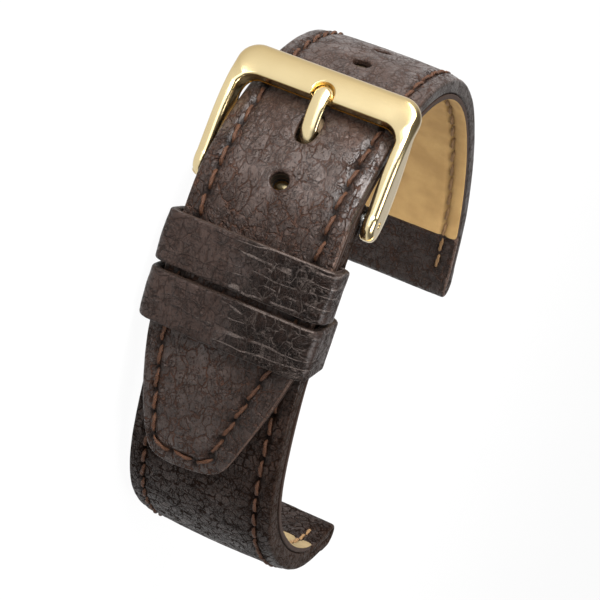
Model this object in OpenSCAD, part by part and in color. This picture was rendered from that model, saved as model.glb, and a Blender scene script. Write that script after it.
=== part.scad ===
// Buckled leather watch strap, lying on one edge.
// The strap bends in the XY plane and its width runs along Z.
// The modules are drawn from a point on the outer face of the long piece, over the buckle's spring bar:
// X runs along the outer face toward the tip, Y points in to the wrist, and Z is 0 half way across the strap.
// placed() then moves everything, so that the origin is under the middle of the loop, where it lies.

/* [Strap] */
// Width across the strap at the two lug ends
lug_w = 20; // [19:0.5:22]
// Width across the strap at the buckle, keepers and tip
buckle_w = 18; // [17:0.5:19]
// Depth into the loop at which the strap starts to widen
taper_from = 16; // [15:1:20]
// Depth into the loop at which the strap has its full lug width
taper_to = 50; // [40:1:52]
// Thickness of the long piece at its tip and under the buckle
tail_t = 2.4; // [2.2:0.05:2.45]
// Gap between the two strap pieces where one lies on the other
lay_gap = 0.3; // [0.2:0.05:0.5]
// Thickness of the dark outer leather
skin_t = 0.8; // [0.7:0.05:0.9]
// Thickness of the tan lining leather
lining_t = 0.7; // [0.6:0.05:0.8]
// Glue line between the layers
glue_gap = 0.03; // [0.02:0.01:0.05]
// Radius of the bores for the spring bars of the watch case
lug_bore_r = 0.9; // [0.85:0.05:1.1]
// Length of the outer leather turned over at each lug end
fold_len = 9.5; // [8:0.5:11]
// Length of the outer leather turned over round the buckle's spring bar
bar_fold_len = 15; // [14.5:0.5:18]
// Depth by which the margin outside the stitching is skived
margin_drop = 0.3; // [0.1:0.05:0.4]
// Distance from the strap's edge to the padding inside it
pad_inset = 3; // [2.8:0.1:4]
// Distance from a lug bore to the end of the skived margin
margin_end = 2.4; // [2:0.1:3]
// Distance from the spring bar over which the short piece keeps its thickness
even_len = 35; // [33:1:37]
// Length over which the short piece then thickens toward its lug end
swell_len = 20; // [18:1:24]

/* [Side curve of the long piece] */
// Length of the bend from the spring bar out under the front bar
crown_len = 12; // [11:0.5:13]
// Turn of that bend in degrees
crown_turn = 23.5; // [21:0.5:25]
// Length of the shoulder bend
shoulder_len = 14; // [13:0.5:16]
// Turn of the shoulder bend in degrees
shoulder_turn = 27; // [24:1:30]
// Length of the top bend
top_len = 20; // [18:0.5:22]
// Turn of the top bend in degrees
top_turn = 41; // [38:1:44]
// Length of the bend down the back
back_len = 29; // [26:0.5:32]
// Turn of the bend down the back in degrees
back_turn = 30; // [26:1:33]
// Straight length at the long piece's lug end
long_end_len = 6; // [5:0.5:7]

/* [Side curve of the short piece] */
// Length of the bend just past the spring bar
knuckle_len = 5; // [4.5:0.25:5.5]
// Turn of that bend in degrees
knuckle_turn = 24.6; // [22:0.5:26]
// Length of the bend under the keepers and the tip
lap_len = 32; // [31:0.5:34]
// Turn of that bend in degrees
lap_turn = 29.2; // [27:0.5:31]
// Length of the bend just past the tip
heel_len = 15.5; // [14:0.5:17]
// Turn of that bend in degrees
heel_turn = 33; // [30:1:36]
// Length of the bottom bend
bottom_len = 16; // [14:0.5:18]
// Turn of the bottom bend in degrees
bottom_turn = 22; // [19:1:25]
// Length of the last bend before the lug end
rise_len = 11; // [10:0.5:13]
// Turn of that bend in degrees
rise_turn = 18.5; // [16:0.5:21]
// Straight length at the short piece's lug end
short_end_len = 5; // [4.5:0.5:6]

/* [Tip and holes] */
// Distance from the end of the tip to the first hole
hole_from_tip = 36; // [35:0.5:37]
// Distance between neighbouring holes
hole_pitch = 7.1; // [6.8:0.1:7.4]
// Number of buckle holes
hole_count = 7; // [5:1:7]
// Radius of a buckle hole
hole_r = 1.05; // [0.9:0.05:1.2]
// Length over which the tip narrows
tip_taper_len = 17; // [15:0.5:19]
// Width of the tip at its end
tip_w = 9.6; // [8:0.2:11]
// Radius of the tip's corners
tip_corner_r = 2.2; // [1.5:0.1:3]

/* [Stitching] */
// Distance from the strap's edge to the stitching
stitch_inset = 2; // [1.8:0.1:2.2]
// Distance from one stitch to the next
stitch_pitch = 3; // [2.6:0.1:3.4]
// Length of one stitch
stitch_len = 2.3; // [1.9:0.1:2.4]
// Diameter of the sewing thread
thread_d = 0.5; // [0.4:0.05:0.6]
// Depth of the groove that the outer thread lies in
groove_d = 0.3; // [0.3:0.05:0.4]
// How far the middle line of the outer thread lies under the leather's face
thread_sink = 0.02; // [0:0.01:0.04]
// Room between the outer thread of the short piece and the inner thread of the long piece over it
thread_room = 0.03; // [0.02:0.01:0.05]
// Width of that groove
groove_w = 0.8; // [0.75:0.05:1]
// Distance from a lug bore to the first stitch
lug_stitch_gap = 3.2; // [3:0.1:3.6]
// Distance from the buckle's spring bar to the short piece's first stitch
bar_stitch_gap = 2.7; // [2.6:0.1:3.2]
// How far the tip's stitching stays back from its corners
tip_stitch_gap = 0.8; // [0.5:0.1:1.2]

/* [Keepers] */
// Width of a keeper along the strap
keeper_w = 5.8; // [5.4:0.1:6]
// Distance along the strap from the spring bar to the fixed keeper
keeper_from_bar = 7.9; // [7.6:0.1:8.2]
// Space between the fixed keeper and the free keeper
keeper_space = 0.8; // [0.7:0.1:1.2]
// Thickness of the keeper leather
keeper_t = 0.8; // [0.7:0.05:0.85]
// Thickness of the keeper lining
keeper_lining_t = 0.22; // [0.15:0.01:0.25]
// Room between a keeper and the strap's faces
keeper_room = 0.25; // [0.2:0.05:0.35]
// Room between a keeper and the strap's edges
keeper_side_room = 0.25; // [0.2:0.05:0.35]
// Outer corner radius of a keeper
keeper_corner_r = 1.6; // [1.3:0.1:1.9]
// Room round the fixed keeper's inner strand, inside the short piece
strand_room = 0.15; // [0.12:0.01:0.2]

/* [Buckle] */
// Width of the opening between the frame's arms
frame_open_w = 18.9; // [18.8:0.1:19.2]
// Thickness of an arm across the strap
arm_t = 1.5; // [1.3:0.1:1.8]
// Distance from the spring bar to the outer edge of the front bar
frame_reach = 13.4; // [13.2:0.1:13.8]
// Width of the front bar along the strap
front_bar_w = 4; // [3.8:0.1:4.2]
// Thickness of the front bar
front_bar_t = 1.9; // [1.7:0.1:2.1]
// Height of the front bar's outer face over the strap's face at the spring bar
front_bar_rise = 0.7; // [0.6:0.1:1]
// Radius of the frame's outer corners
frame_corner_r = 1.8; // [1.2:0.1:2.2]
// Radius of the corners of the frame's opening
window_corner_r = 1.6; // [1:0.1:2]
// Radius of the arm's round end
arm_end_r = 2.1; // [1.9:0.1:2.3]
// Width of the notch that the tongue rests in
notch_w = 2.9; // [2.8:0.1:3.4]
// Length of the notch into the front bar
notch_len = 2; // [1.8:0.1:2.4]
// Depth of the notch
notch_d = 0.75; // [0.65:0.05:0.85]
// Width of the tongue
tongue_w = 2.5; // [2.2:0.1:2.6]
// Thickness of the tongue
tongue_t = 1; // [0.9:0.05:1.05]
// Width of the tongue's loop round the spring bar
tongue_loop_w = 3; // [2.8:0.1:3.2]
// Wall of the tongue's loop
tongue_loop_t = 0.77; // [0.7:0.01:0.8]
// Distance from the spring bar to the hole that the tongue comes out of
tongue_out = 6.1; // [6:0.1:6.3]
// Distance from the spring bar to where the tongue starts to rise
tongue_rise_at = 2.4; // [2.2:0.1:2.5]
// Height of the tongue's middle line over the strap's face where it comes out
tongue_stand = 0.2; // [0.15:0.05:0.3]
// Distance from the front bar's inner edge to where the tongue levels out
tongue_bend_at = 0.7; // [0.5:0.1:1]
// Length of the notch left free ahead of the tongue's tip
tongue_tip_gap = 0.45; // [0.3:0.05:0.6]
// Room round the tongue in the leather
tongue_room = 0.25; // [0.2:0.05:0.35]
// Play in degrees by which the buckled frame lifts off the strap
frame_play = 2.5; // [2.5:0.5:4]
// Play in degrees by which the tongue lifts out of its notch
tongue_play = 2.5; // [2.5:0.5:4]
// Room between the tongue and the floor of its notch
notch_room = 0.1; // [0.05:0.05:0.15]
// Width of the slot in the short piece for the tongue's loop
slot_w = 3.8; // [3.6:0.1:4]
// Length of that slot from the spring bar
slot_len = 4.6; // [4.4:0.1:4.8]

/* [Spring bar] */
// Outer radius of the spring bar's tube
tube_r = 0.73; // [0.7:0.01:0.74]
// Running clearance round the tube
tube_clear = 0.05; // [0.04:0.01:0.08]
// Inner radius of the tube
tube_bore_r = 0.5; // [0.49:0.01:0.52]
// Radius of the tube's drawn-in mouth
tube_mouth_r = 0.44; // [0.43:0.01:0.45]
// Length of the drawn-in mouth
tube_mouth_len = 0.5; // [0.4:0.1:0.8]
// Room between the tube's end and the frame's arm
tube_end_room = 0.35; // [0.3:0.05:0.4]
// Radius of the pin's nose
pin_r = 0.39; // [0.37:0.01:0.39]
// Radius of the pin's head inside the tube
pin_head_r = 0.46; // [0.455:0.005:0.465]
// Length of the pin's head
pin_head_len = 1; // [0.8:0.1:1.4]
// Clearance between the pin and the frame's hole
pin_clear = 0.05; // [0.03:0.01:0.08]
// Length by which the pin's nose stays back from the frame's outer face
pin_inset = 0.2; // [0.1:0.05:0.3]
// Room round the bar's coil spring
coil_room = 0.05; // [0.04:0.01:0.08]
// Wire diameter of the bar's coil spring
coil_wire_d = 0.16; // [0.12:0.02:0.18]
// Number of turns of the coil spring
coil_turns = 14; // [10:1:16]

/* [Hidden] */
$fn = 64;
// Spacing of the points along the side curve
st = 1.25;
// A length that clears the whole strap, for cutting tools
far = 90;
// How far a cutting tool runs past the face that it cuts
cut = 1;
// How far a block reaches into the block that it joins
bite = 0.2;
// Gap at a butt joint between two layers
seam = 0.1;
// Gap between metal faces that meet
fine_gap = 0.02;
// Smallest corner radius
least_r = 0.3;
// The grooves run a little past the first stitch
groove_over = 0.2;
groove_end = lug_stitch_gap - groove_over;
bar_groove_end = bar_stitch_gap - groove_over;
// The inner thread lies deeper, so that it clears the thread of the piece under it
inner_sink = thread_d - thread_sink - lay_gap + thread_room;
inner_groove_d = inner_sink + thread_d / 2 + 2 * thread_room;
spread = (lug_w - buckle_w) / 2;
edge = buckle_w / 2;
pad = edge - pad_inset;
row = edge - stitch_inset;
lug_t = 2 * (lug_bore_r + skin_t);
bar_bore_r = tube_r + tube_clear;
bar_t = 2 * (bar_bore_r + skin_t);
// Depth of the short piece's outer face under the long piece's
lay = tail_t + lay_gap;
bar_y = lay + bar_t / 2;
up_arcs = [[crown_len, -crown_turn], [shoulder_len, -shoulder_turn], [top_len, -top_turn],
    [back_len, -back_turn], [long_end_len, 0]];
down_arcs = [[knuckle_len, knuckle_turn], [lap_len, lap_turn], [heel_len, heel_turn],
    [bottom_len, bottom_turn], [rise_len, rise_turn], [short_end_len, 0]];
up_len = crown_len + shoulder_len + top_len + back_len + long_end_len;
down_len = knuckle_len + lap_len + heel_len + bottom_len + rise_len + short_end_len;
tip_s = tongue_out - hole_pitch - hole_from_tip;
tip_from = tip_s + tip_taper_len;
long_c = up_len - lug_t / 2;
short_c = -(down_len - lug_t / 2);
// Where the outer leather is turned over, at each lug end; the long piece is at its full thickness from there
long_fold_s = long_c - fold_len;
short_fold_s = short_c + fold_len;
fixed_s = -(keeper_from_bar + keeper_w / 2);
free_s = fixed_s - keeper_w - keeper_space;
// Radius of the bend under the keepers, at the outer face
lap_r = lap_len * 180 / (PI * lap_turn);
// Half the way of the fixed keeper's inner strand, along the outer face; the bend shortens it further in
way_half = (keeper_w / 2 + strand_room) * lap_r / (lap_r - lay - bar_t);
// The frame and its bar
arm_in = frame_open_w / 2;
arm_out = arm_in + arm_t;
tube_end = arm_in - tube_end_room;
bar_top = -front_bar_rise;
pin_end = arm_out - pin_inset;
head_out = tube_end - tube_mouth_len - fine_gap;
head_in = head_out - pin_head_len;
loop_r = bar_bore_r + tongue_loop_t;
// Middle line of the tongue: under the strap, up through the hole, over the front bar
bar_inner_x = front_bar_w - frame_reach;
tongue_low_y = bar_y - loop_r + tongue_t / 2;
tongue_tip_y = bar_top + notch_d - notch_room - tongue_t / 2;
tongue_tip_x = bar_inner_x - notch_len + tongue_tip_gap;

// Position and heading reached by going s along an arc of a given length and turn
function arc_to(p, seg, s) = abs(seg[1]) < 0.001
    ? [p[0] + s * cos(p[2]), p[1] + s * sin(p[2]), p[2]]
    : let (r = seg[0] / (seg[1] * PI / 180), a = p[2] + seg[1] * s / seg[0])
        [p[0] + r * (sin(a) - sin(p[2])), p[1] - r * (cos(a) - cos(p[2])), a];
function along(p, segs, s, i = 0) = s <= segs[i][0] || i == len(segs) - 1
    ? arc_to(p, segs[i], s)
    : along(arc_to(p, segs[i], segs[i][0]), segs, s - segs[i][0], i + 1);
// A point at distance s along the outer face and a depth below it; s is negative on the tip's side of the bar
function side_pt(s, depth) = s >= 0
    ? let (p = along([0, 0, 180], up_arcs, s)) [p[0] + depth * sin(p[2]), p[1] - depth * cos(p[2])]
    : let (p = along([0, 0, 0], down_arcs, -s)) [p[0] - depth * sin(p[2]), p[1] + depth * cos(p[2])];
function heading(s) = s >= 0 ? along([0, 0, 180], up_arcs, s)[2] - 180 : along([0, 0, 0], down_arcs, -s)[2];
function stations(a, b) = let (m = ceil(a / st + 0.01), n = floor(b / st - 0.01))
    concat([a], m <= n ? [for (k = [m:n]) k * st] : [], [b]);
function band(a, b, outer, inner) = let (list = stations(a, b), n = len(list))
    concat([for (s = list) side_pt(s, outer(s))], [for (i = [n - 1:-1:0]) side_pt(list[i], inner(list[i]))]);
function ramp(t, a, b) = a + (b - a) * min(1, max(0, t));
function long_t(s) = ramp(s / long_fold_s, tail_t, lug_t);
function short_t(s) = ramp((-s - even_len) / swell_len, bar_t, lug_t);
// How much further out the strap's edge is at a depth y into the loop
function widen(y) = spread * ramp((y - taper_from) / (taper_to - taper_from), 0, 1);
tongue_line = [[0, tongue_low_y], [-tongue_rise_at / 2, tongue_low_y], [-tongue_rise_at, tongue_low_y],
    side_pt(tongue_out, 0) - [0, tongue_stand], [bar_inner_x + tongue_bend_at, tongue_tip_y],
    [tongue_tip_x, tongue_tip_y]];
// The middle of the box that the whole strap fills
curve = [for (s = stations(short_c, long_c)) side_pt(s, s < tip_s ? lay : 0)];
mid_x = (min([for (p = curve) p[0]]) + max([for (p = curve) p[0]])) / 2;
y_in = max(side_pt(short_c, lay + lug_t / 2)[1], side_pt(long_c, lug_t / 2)[1]) + lug_t / 2;
mid_y = (y_in + tongue_tip_y - tongue_t / 2) / 2;

module placed() {
    translate([-mid_x, -mid_y, arm_out]) children();
}

// Everything within a half width that grows toward the lugs
module within(hw) {
    rotate([90, 0, 90])
        linear_extrude(height = 2 * far, center = true)
            polygon([[-far, -hw], [taper_from, -hw], [taper_to, -hw - spread], [far, -hw - spread],
                [far, hw + spread], [taper_to, hw + spread], [taper_from, hw], [-far, hw]]);
}
// Everything between two such half widths, on both sides
module between(inner, outer) {
    for (side = [0, 1])
        mirror([0, 0, side])
            rotate([90, 0, 90])
                linear_extrude(height = 2 * far, center = true)
                    polygon([[-far, inner], [taper_from, inner], [taper_to, inner + spread],
                        [far, inner + spread], [far, outer + spread], [taper_to, outer + spread],
                        [taper_from, outer], [-far, outer]]);
}
// A layer of the strap from a to b along the curve, between two depths
module layer(a, b, outer, inner, hw) {
    intersection() {
        linear_extrude(height = far, center = true) polygon(band(a, b, outer, inner));
        within(hw);
    }
}
module side_layer(a, b, outer, inner, hw_in, hw_out) {
    intersection() {
        linear_extrude(height = far, center = true) polygon(band(a, b, outer, inner));
        between(hw_in, hw_out);
    }
}
// Places its children at s along the curve, X along the strap toward the tip, Y inward
module at(s, depth) {
    p = side_pt(s, depth);
    translate([p[0], p[1], 0]) rotate([0, 0, heading(s)]) children();
}
// Outline of the tip, drawn in by an inset; x runs from the start of the taper to the end
function tip_half(inset) =
    let (run = edge - tip_w / 2, lean = atan(run / tip_taper_len), r = max(least_r, tip_corner_r - inset),
        xc = tip_taper_len - inset - r,
        zc = edge - run * xc / tip_taper_len - (inset + r) / cos(lean))
        concat([[0, edge - inset / cos(lean)]],
            [for (a = [90 - lean:-(90 - lean) / 6:0]) [xc + r * cos(a), zc + r * sin(a)]]);
module tip_waste(inset) {
    half = tip_half(inset);
    n = len(half);
    side = edge + cut;
    end = tip_taper_len + cut;
    at(tip_from, 0)
        rotate([90, 0, 0])
            linear_extrude(height = buckle_w, center = true)
                polygon(concat([[0, side]], half, [for (i = [n - 1:-1:0]) [half[i][0], -half[i][1]]],
                    [[0, -side], [end, -side], [end, side]]));
}
module holes() {
    for (i = [0:hole_count - 1])
        if (i != 1)
            at(tongue_out + (i - 1) * hole_pitch, 0)
                rotate([-90, 0, 0]) cylinder(r = hole_r, h = 2 * lug_t + cut, center = true);
}
// Side outline of the tongue's straight runs, thick on each side of its middle line
function line_band(line, up, down) =
    let (n = len(line),
        d = [for (i = [0:n - 2]) let (v = line[i + 1] - line[i]) v / norm(v)],
        m = [for (i = [0:n - 1])
            i == 0 ? d[0] : i == n - 1 ? d[n - 2] : let (v = d[i - 1] + d[i]) 2 * v / (norm(v) * norm(v))])
        concat([for (i = [0:n - 1]) line[i] + up * [m[i][1], -m[i][0]] * -1],
            [for (i = [n - 1:-1:0]) line[i] + down * [m[i][1], -m[i][0]]]);
// The room that the tongue needs in the long piece as it swings
module tongue_passage() {
    line = [for (i = [1:len(tongue_line) - 1]) tongue_line[i]];
    half = tongue_t / 2 + tongue_room;
    for (turn = [0:3])
        translate([0, bar_y, 0])
            rotate([0, 0, turn / 3 * (frame_play + tongue_play)])
                translate([0, -bar_y, 0])
                    linear_extrude(height = tongue_w + 2 * tongue_room, center = true)
                        polygon(line_band(line, half, half));
}
// Grooves for the stitching on the outer and inner faces
module outer_grooves(a, b, base) {
    side_layer(a, b, function (s) base - cut, function (s) base + groove_d, row - groove_w / 2,
        row + groove_w / 2);
}
module inner_grooves(a, b, floor_at) {
    side_layer(a, b, function (s) floor_at(s) - inner_groove_d, function (s) floor_at(s) + cut,
        row - groove_w / 2, row + groove_w / 2);
}
module tip_grooves(depth_a, depth_b) {
    intersection() {
        linear_extrude(height = far, center = true)
            polygon(band(tip_s - cut, tip_from, function (s) depth_a, function (s) depth_b));
        difference() {
            tip_waste(stitch_inset + groove_w / 2);
            tip_waste(stitch_inset - groove_w / 2);
        }
    }
}
// A stitch goes through the same two needle holes at any depth, so a bend makes its inner side shorter
function stitch_at(s, depth) = norm(side_pt(s + stitch_len / 2, depth) - side_pt(s - stitch_len / 2, depth));
module stitch(s, depth, z, tilt = 0) {
    p = side_pt(s, depth);
    translate([p[0], p[1], z])
        rotate([0, 0, heading(s)])
            rotate([0, 90 + tilt, 0])
                cylinder(d = thread_d, h = stitch_at(s, depth), center = true, $fn = 16);
}
// Two rows of stitches from a to b, lying at a depth given by a function
module stitch_rows(a, b, depth) {
    n = floor((b - a) / stitch_pitch);
    for (i = [0:n - 1]) {
        s = a + (i + 0.5) * (b - a) / n;
        z = row + widen(side_pt(s, depth(s))[1]);
        stitch(s, depth(s), z);
        stitch(s, depth(s), -z);
    }
}
// The place along the curve where a layer of the tip is a straight distance x from the start of the taper
function tip_reach(s, depth) = let (v = side_pt(s, depth) - side_pt(tip_from, 0), a = heading(tip_from))
    v[0] * cos(a) + v[1] * sin(a);
function tip_at(x, depth, s, tries = 4) = tries == 0
    ? s
    : tip_at(x, depth, s - (x - tip_reach(s, depth)), tries - 1);
// Stitches down the sloping sides of the tip and across its end
module tip_stitches(depth) {
    run = edge - tip_w / 2;
    lean = atan(run / tip_taper_len);
    n = floor((tip_taper_len - stitch_inset - tip_stitch_gap) / (stitch_pitch * cos(lean)));
    for (i = [0:n - 1]) {
        x = (i + 0.5) * (tip_taper_len - stitch_inset - tip_stitch_gap) / n;
        z = edge - run * x / tip_taper_len - stitch_inset / cos(lean);
        s = tip_at(x, depth, tip_from - x);
        stitch(s, depth, z, lean);
        stitch(s, depth, -z, -lean);
    }
    end_n = floor((tip_w - 2 * stitch_inset) / stitch_pitch);
    end_x = tip_taper_len - stitch_inset;
    p = side_pt(tip_at(end_x, depth, tip_from - end_x), depth);
    for (i = [0:end_n - 1])
        translate([p[0], p[1], (i - (end_n - 1) / 2) * stitch_pitch])
            cylinder(d = thread_d, h = stitch_len, center = true, $fn = 16);
}

// The outer leather of the long piece, up to where it is turned over
module long_upper() {
    color([0.24, 0.16, 0.13])
        difference() {
            layer(tip_s, long_fold_s, function (s) 0, function (s) long_t(s) - lining_t, edge);
            difference() {
                layer(tip_s, long_fold_s + cut, function (s) skin_t, function (s) long_t(s) + cut, pad);
                tip_waste(pad_inset);
            }
            holes();
            tongue_passage();
            outer_grooves(tip_from, long_fold_s + cut, 0);
            tip_grooves(-cut, groove_d);
            side_layer(tip_s - cut, long_fold_s + cut, function (s) -cut, function (s) margin_drop,
                row + groove_w, edge + cut);
            tip_waste(0);
        }
}
// Its turned-over end, round the bore for the watch's spring bar
module long_lug_fold() {
    color([0.24, 0.16, 0.13])
        difference() {
            union() {
                layer(long_fold_s, long_c, function (s) 0, function (s) long_t(s), edge);
                intersection() {
                    at(long_c, lug_t / 2) cylinder(r = lug_t / 2, h = far, center = true);
                    within(edge);
                }
            }
            layer(long_fold_s - cut, long_c - lug_t / 2 - seam, function (s) skin_t,
                function (s) long_t(s) - skin_t, pad);
            at(long_c, lug_t / 2) cylinder(r = lug_bore_r, h = far, center = true);
            outer_grooves(long_fold_s - cut, long_c - groove_end, 0);
            inner_grooves(long_fold_s - cut, long_c - groove_end, function (s) long_t(s));
            side_layer(long_fold_s - cut, long_c - margin_end, function (s) -cut, function (s) margin_drop,
                row + groove_w, edge + cut);
        }
}
module long_lining() {
    color([0.78, 0.62, 0.42])
        difference() {
            layer(tip_s, long_fold_s - seam, function (s) long_t(s) - lining_t + glue_gap,
                function (s) long_t(s), edge);
            holes();
            tongue_passage();
            inner_grooves(tip_from, long_fold_s, function (s) long_t(s));
            tip_grooves(tail_t - inner_groove_d, tail_t + cut);
            tip_waste(0);
        }
}
module long_filler() {
    color([0.62, 0.55, 0.46])
        difference() {
            layer(tip_s, long_fold_s - 2 * seam, function (s) skin_t + glue_gap,
                function (s) long_t(s) - lining_t, pad - glue_gap);
            tip_waste(pad_inset + glue_gap);
            holes();
            tongue_passage();
        }
}
module long_lug_reinforcement() {
    color([0.45, 0.38, 0.3])
        layer(long_fold_s, long_c - lug_t / 2 - 2 * seam, function (s) skin_t + glue_gap,
            function (s) long_t(s) - skin_t - glue_gap, pad - glue_gap);
}
module long_top_thread() {
    color([0.45, 0.24, 0.13]) {
        stitch_rows(tip_from, long_c - lug_stitch_gap, function (s) thread_sink);
        tip_stitches(thread_sink);
    }
}
module long_bobbin_thread() {
    color([0.6, 0.45, 0.28]) {
        stitch_rows(tip_from, long_c - lug_stitch_gap, function (s) long_t(s) - inner_sink);
        tip_stitches(tail_t - inner_sink);
    }
}
// The outer leather of the short piece, round the buckle's spring bar and down to where it is turned over
module short_upper() {
    color([0.22, 0.15, 0.12])
        difference() {
            union() {
                layer(short_fold_s, 0, function (s) lay, function (s) lay + short_t(s) - lining_t, edge);
                layer(-bar_fold_len, 0, function (s) lay + bar_t - skin_t, function (s) lay + bar_t, edge);
                intersection() {
                    translate([0, bar_y, 0]) cylinder(r = bar_t / 2, h = far, center = true);
                    within(edge);
                }
            }
            layer(short_fold_s - cut, -bar_fold_len, function (s) lay + skin_t,
                function (s) lay + short_t(s) + cut, pad);
            layer(-bar_fold_len - seam, -slot_len, function (s) lay + skin_t,
                function (s) lay + bar_t - skin_t, pad);
            // Way through the edges for the fixed keeper's inner strand
            layer(fixed_s - way_half, fixed_s + way_half, function (s) lay + skin_t,
                function (s) lay + bar_t - skin_t, edge + cut);
            translate([0, bar_y, 0]) cylinder(r = bar_bore_r, h = far, center = true);
            // Slot for the tongue's loop
            translate([-bar_t, bar_y - bar_t, -slot_w / 2]) cube([bar_t + slot_len, 2 * bar_t, slot_w]);
            outer_grooves(short_fold_s - cut, -bar_groove_end, lay);
            inner_grooves(-bar_fold_len - cut, -bar_groove_end, function (s) lay + bar_t);
            side_layer(short_fold_s - cut, -bar_groove_end, function (s) lay - cut,
                function (s) lay + margin_drop, row + groove_w, edge + cut);
        }
}
// Its turned-over end, round the bore for the watch's other spring bar
module short_lug_fold() {
    color([0.22, 0.15, 0.12])
        difference() {
            union() {
                layer(short_c, short_fold_s, function (s) lay, function (s) lay + lug_t, edge);
                intersection() {
                    at(short_c, lay + lug_t / 2) cylinder(r = lug_t / 2, h = far, center = true);
                    within(edge);
                }
            }
            layer(short_c + lug_t / 2 + seam, short_fold_s + cut, function (s) lay + skin_t,
                function (s) lay + lug_t - skin_t, pad);
            at(short_c, lay + lug_t / 2) cylinder(r = lug_bore_r, h = far, center = true);
            outer_grooves(short_c + groove_end, short_fold_s + cut, lay);
            inner_grooves(short_c + groove_end, short_fold_s + cut, function (s) lay + lug_t);
            side_layer(short_c + margin_end, short_fold_s + cut, function (s) lay - cut,
                function (s) lay + margin_drop, row + groove_w, edge + cut);
        }
}
module short_lining() {
    color([0.78, 0.62, 0.42])
        difference() {
            layer(short_fold_s + seam, -bar_fold_len - seam,
                function (s) lay + short_t(s) - lining_t + glue_gap, function (s) lay + short_t(s), edge);
            inner_grooves(short_fold_s - cut, -bar_fold_len + cut, function (s) lay + short_t(s));
        }
}
module short_filler() {
    color([0.62, 0.55, 0.46])
        layer(short_fold_s + 2 * seam, fixed_s - way_half - seam, function (s) lay + skin_t + glue_gap,
            function (s) lay + short_t(s) - max(skin_t, lining_t) - glue_gap, pad - glue_gap);
}
module short_lug_reinforcement() {
    color([0.45, 0.38, 0.3])
        layer(short_c + lug_t / 2 + 2 * seam, short_fold_s, function (s) lay + skin_t + glue_gap,
            function (s) lay + lug_t - skin_t - glue_gap, pad - glue_gap);
}
module short_buckle_reinforcement() {
    color([0.45, 0.38, 0.3])
        layer(fixed_s + way_half + seam, -slot_len - seam, function (s) lay + skin_t + glue_gap,
            function (s) lay + bar_t - skin_t - glue_gap, pad - glue_gap);
}
module short_top_thread() {
    color([0.45, 0.24, 0.13])
        stitch_rows(short_c + lug_stitch_gap, -bar_stitch_gap, function (s) lay + thread_sink);
}
module short_bobbin_thread() {
    color([0.6, 0.45, 0.28])
        stitch_rows(short_c + lug_stitch_gap, -bar_stitch_gap, function (s) lay + short_t(s) - inner_sink);
}
// A block with four rounded long edges: X along the strap, from depth a to b, half width hw
module round_block(length, a, b, hw, r) {
    translate([-length / 2, a + r, -hw]) cube([length, b - a - 2 * r, 2 * hw]);
    translate([-length / 2, a, -hw + r]) cube([length, b - a, 2 * hw - 2 * r]);
    for (y = [a + r, b - r])
        for (z = [-hw + r, hw - r])
            translate([-length / 2, y, z]) rotate([0, 90, 0]) cylinder(r = r, h = length);
}
// A band that goes round from depth a to b, with its thickness outside
module ring_band(s, a, b, hw, t, r) {
    at(s, 0)
        difference() {
            round_block(keeper_w, a - t, b + t, hw + t, r);
            round_block(keeper_w + cut, a, b, hw, max(least_r, r - t));
        }
}
keeper_hw = edge + keeper_side_room;
fixed_inner = lay + skin_t + strand_room;
free_inner = lay + bar_t + keeper_room;
module keeper_leather(s, inner) {
    color([0.2, 0.13, 0.11])
        ring_band(s, -keeper_room - keeper_lining_t, inner + keeper_lining_t, keeper_hw + keeper_lining_t,
            keeper_t, keeper_corner_r);
}
module keeper_lining(s, inner) {
    color([0.72, 0.56, 0.38])
        ring_band(s, -keeper_room, inner, keeper_hw, keeper_lining_t - fine_gap, keeper_corner_r - keeper_t);
}
module fixed_keeper() {
    keeper_leather(fixed_s, fixed_inner);
}
module fixed_keeper_lining() {
    keeper_lining(fixed_s, fixed_inner);
}
module free_keeper() {
    keeper_leather(free_s, free_inner);
}
module free_keeper_lining() {
    keeper_lining(free_s, free_inner);
}
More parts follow.
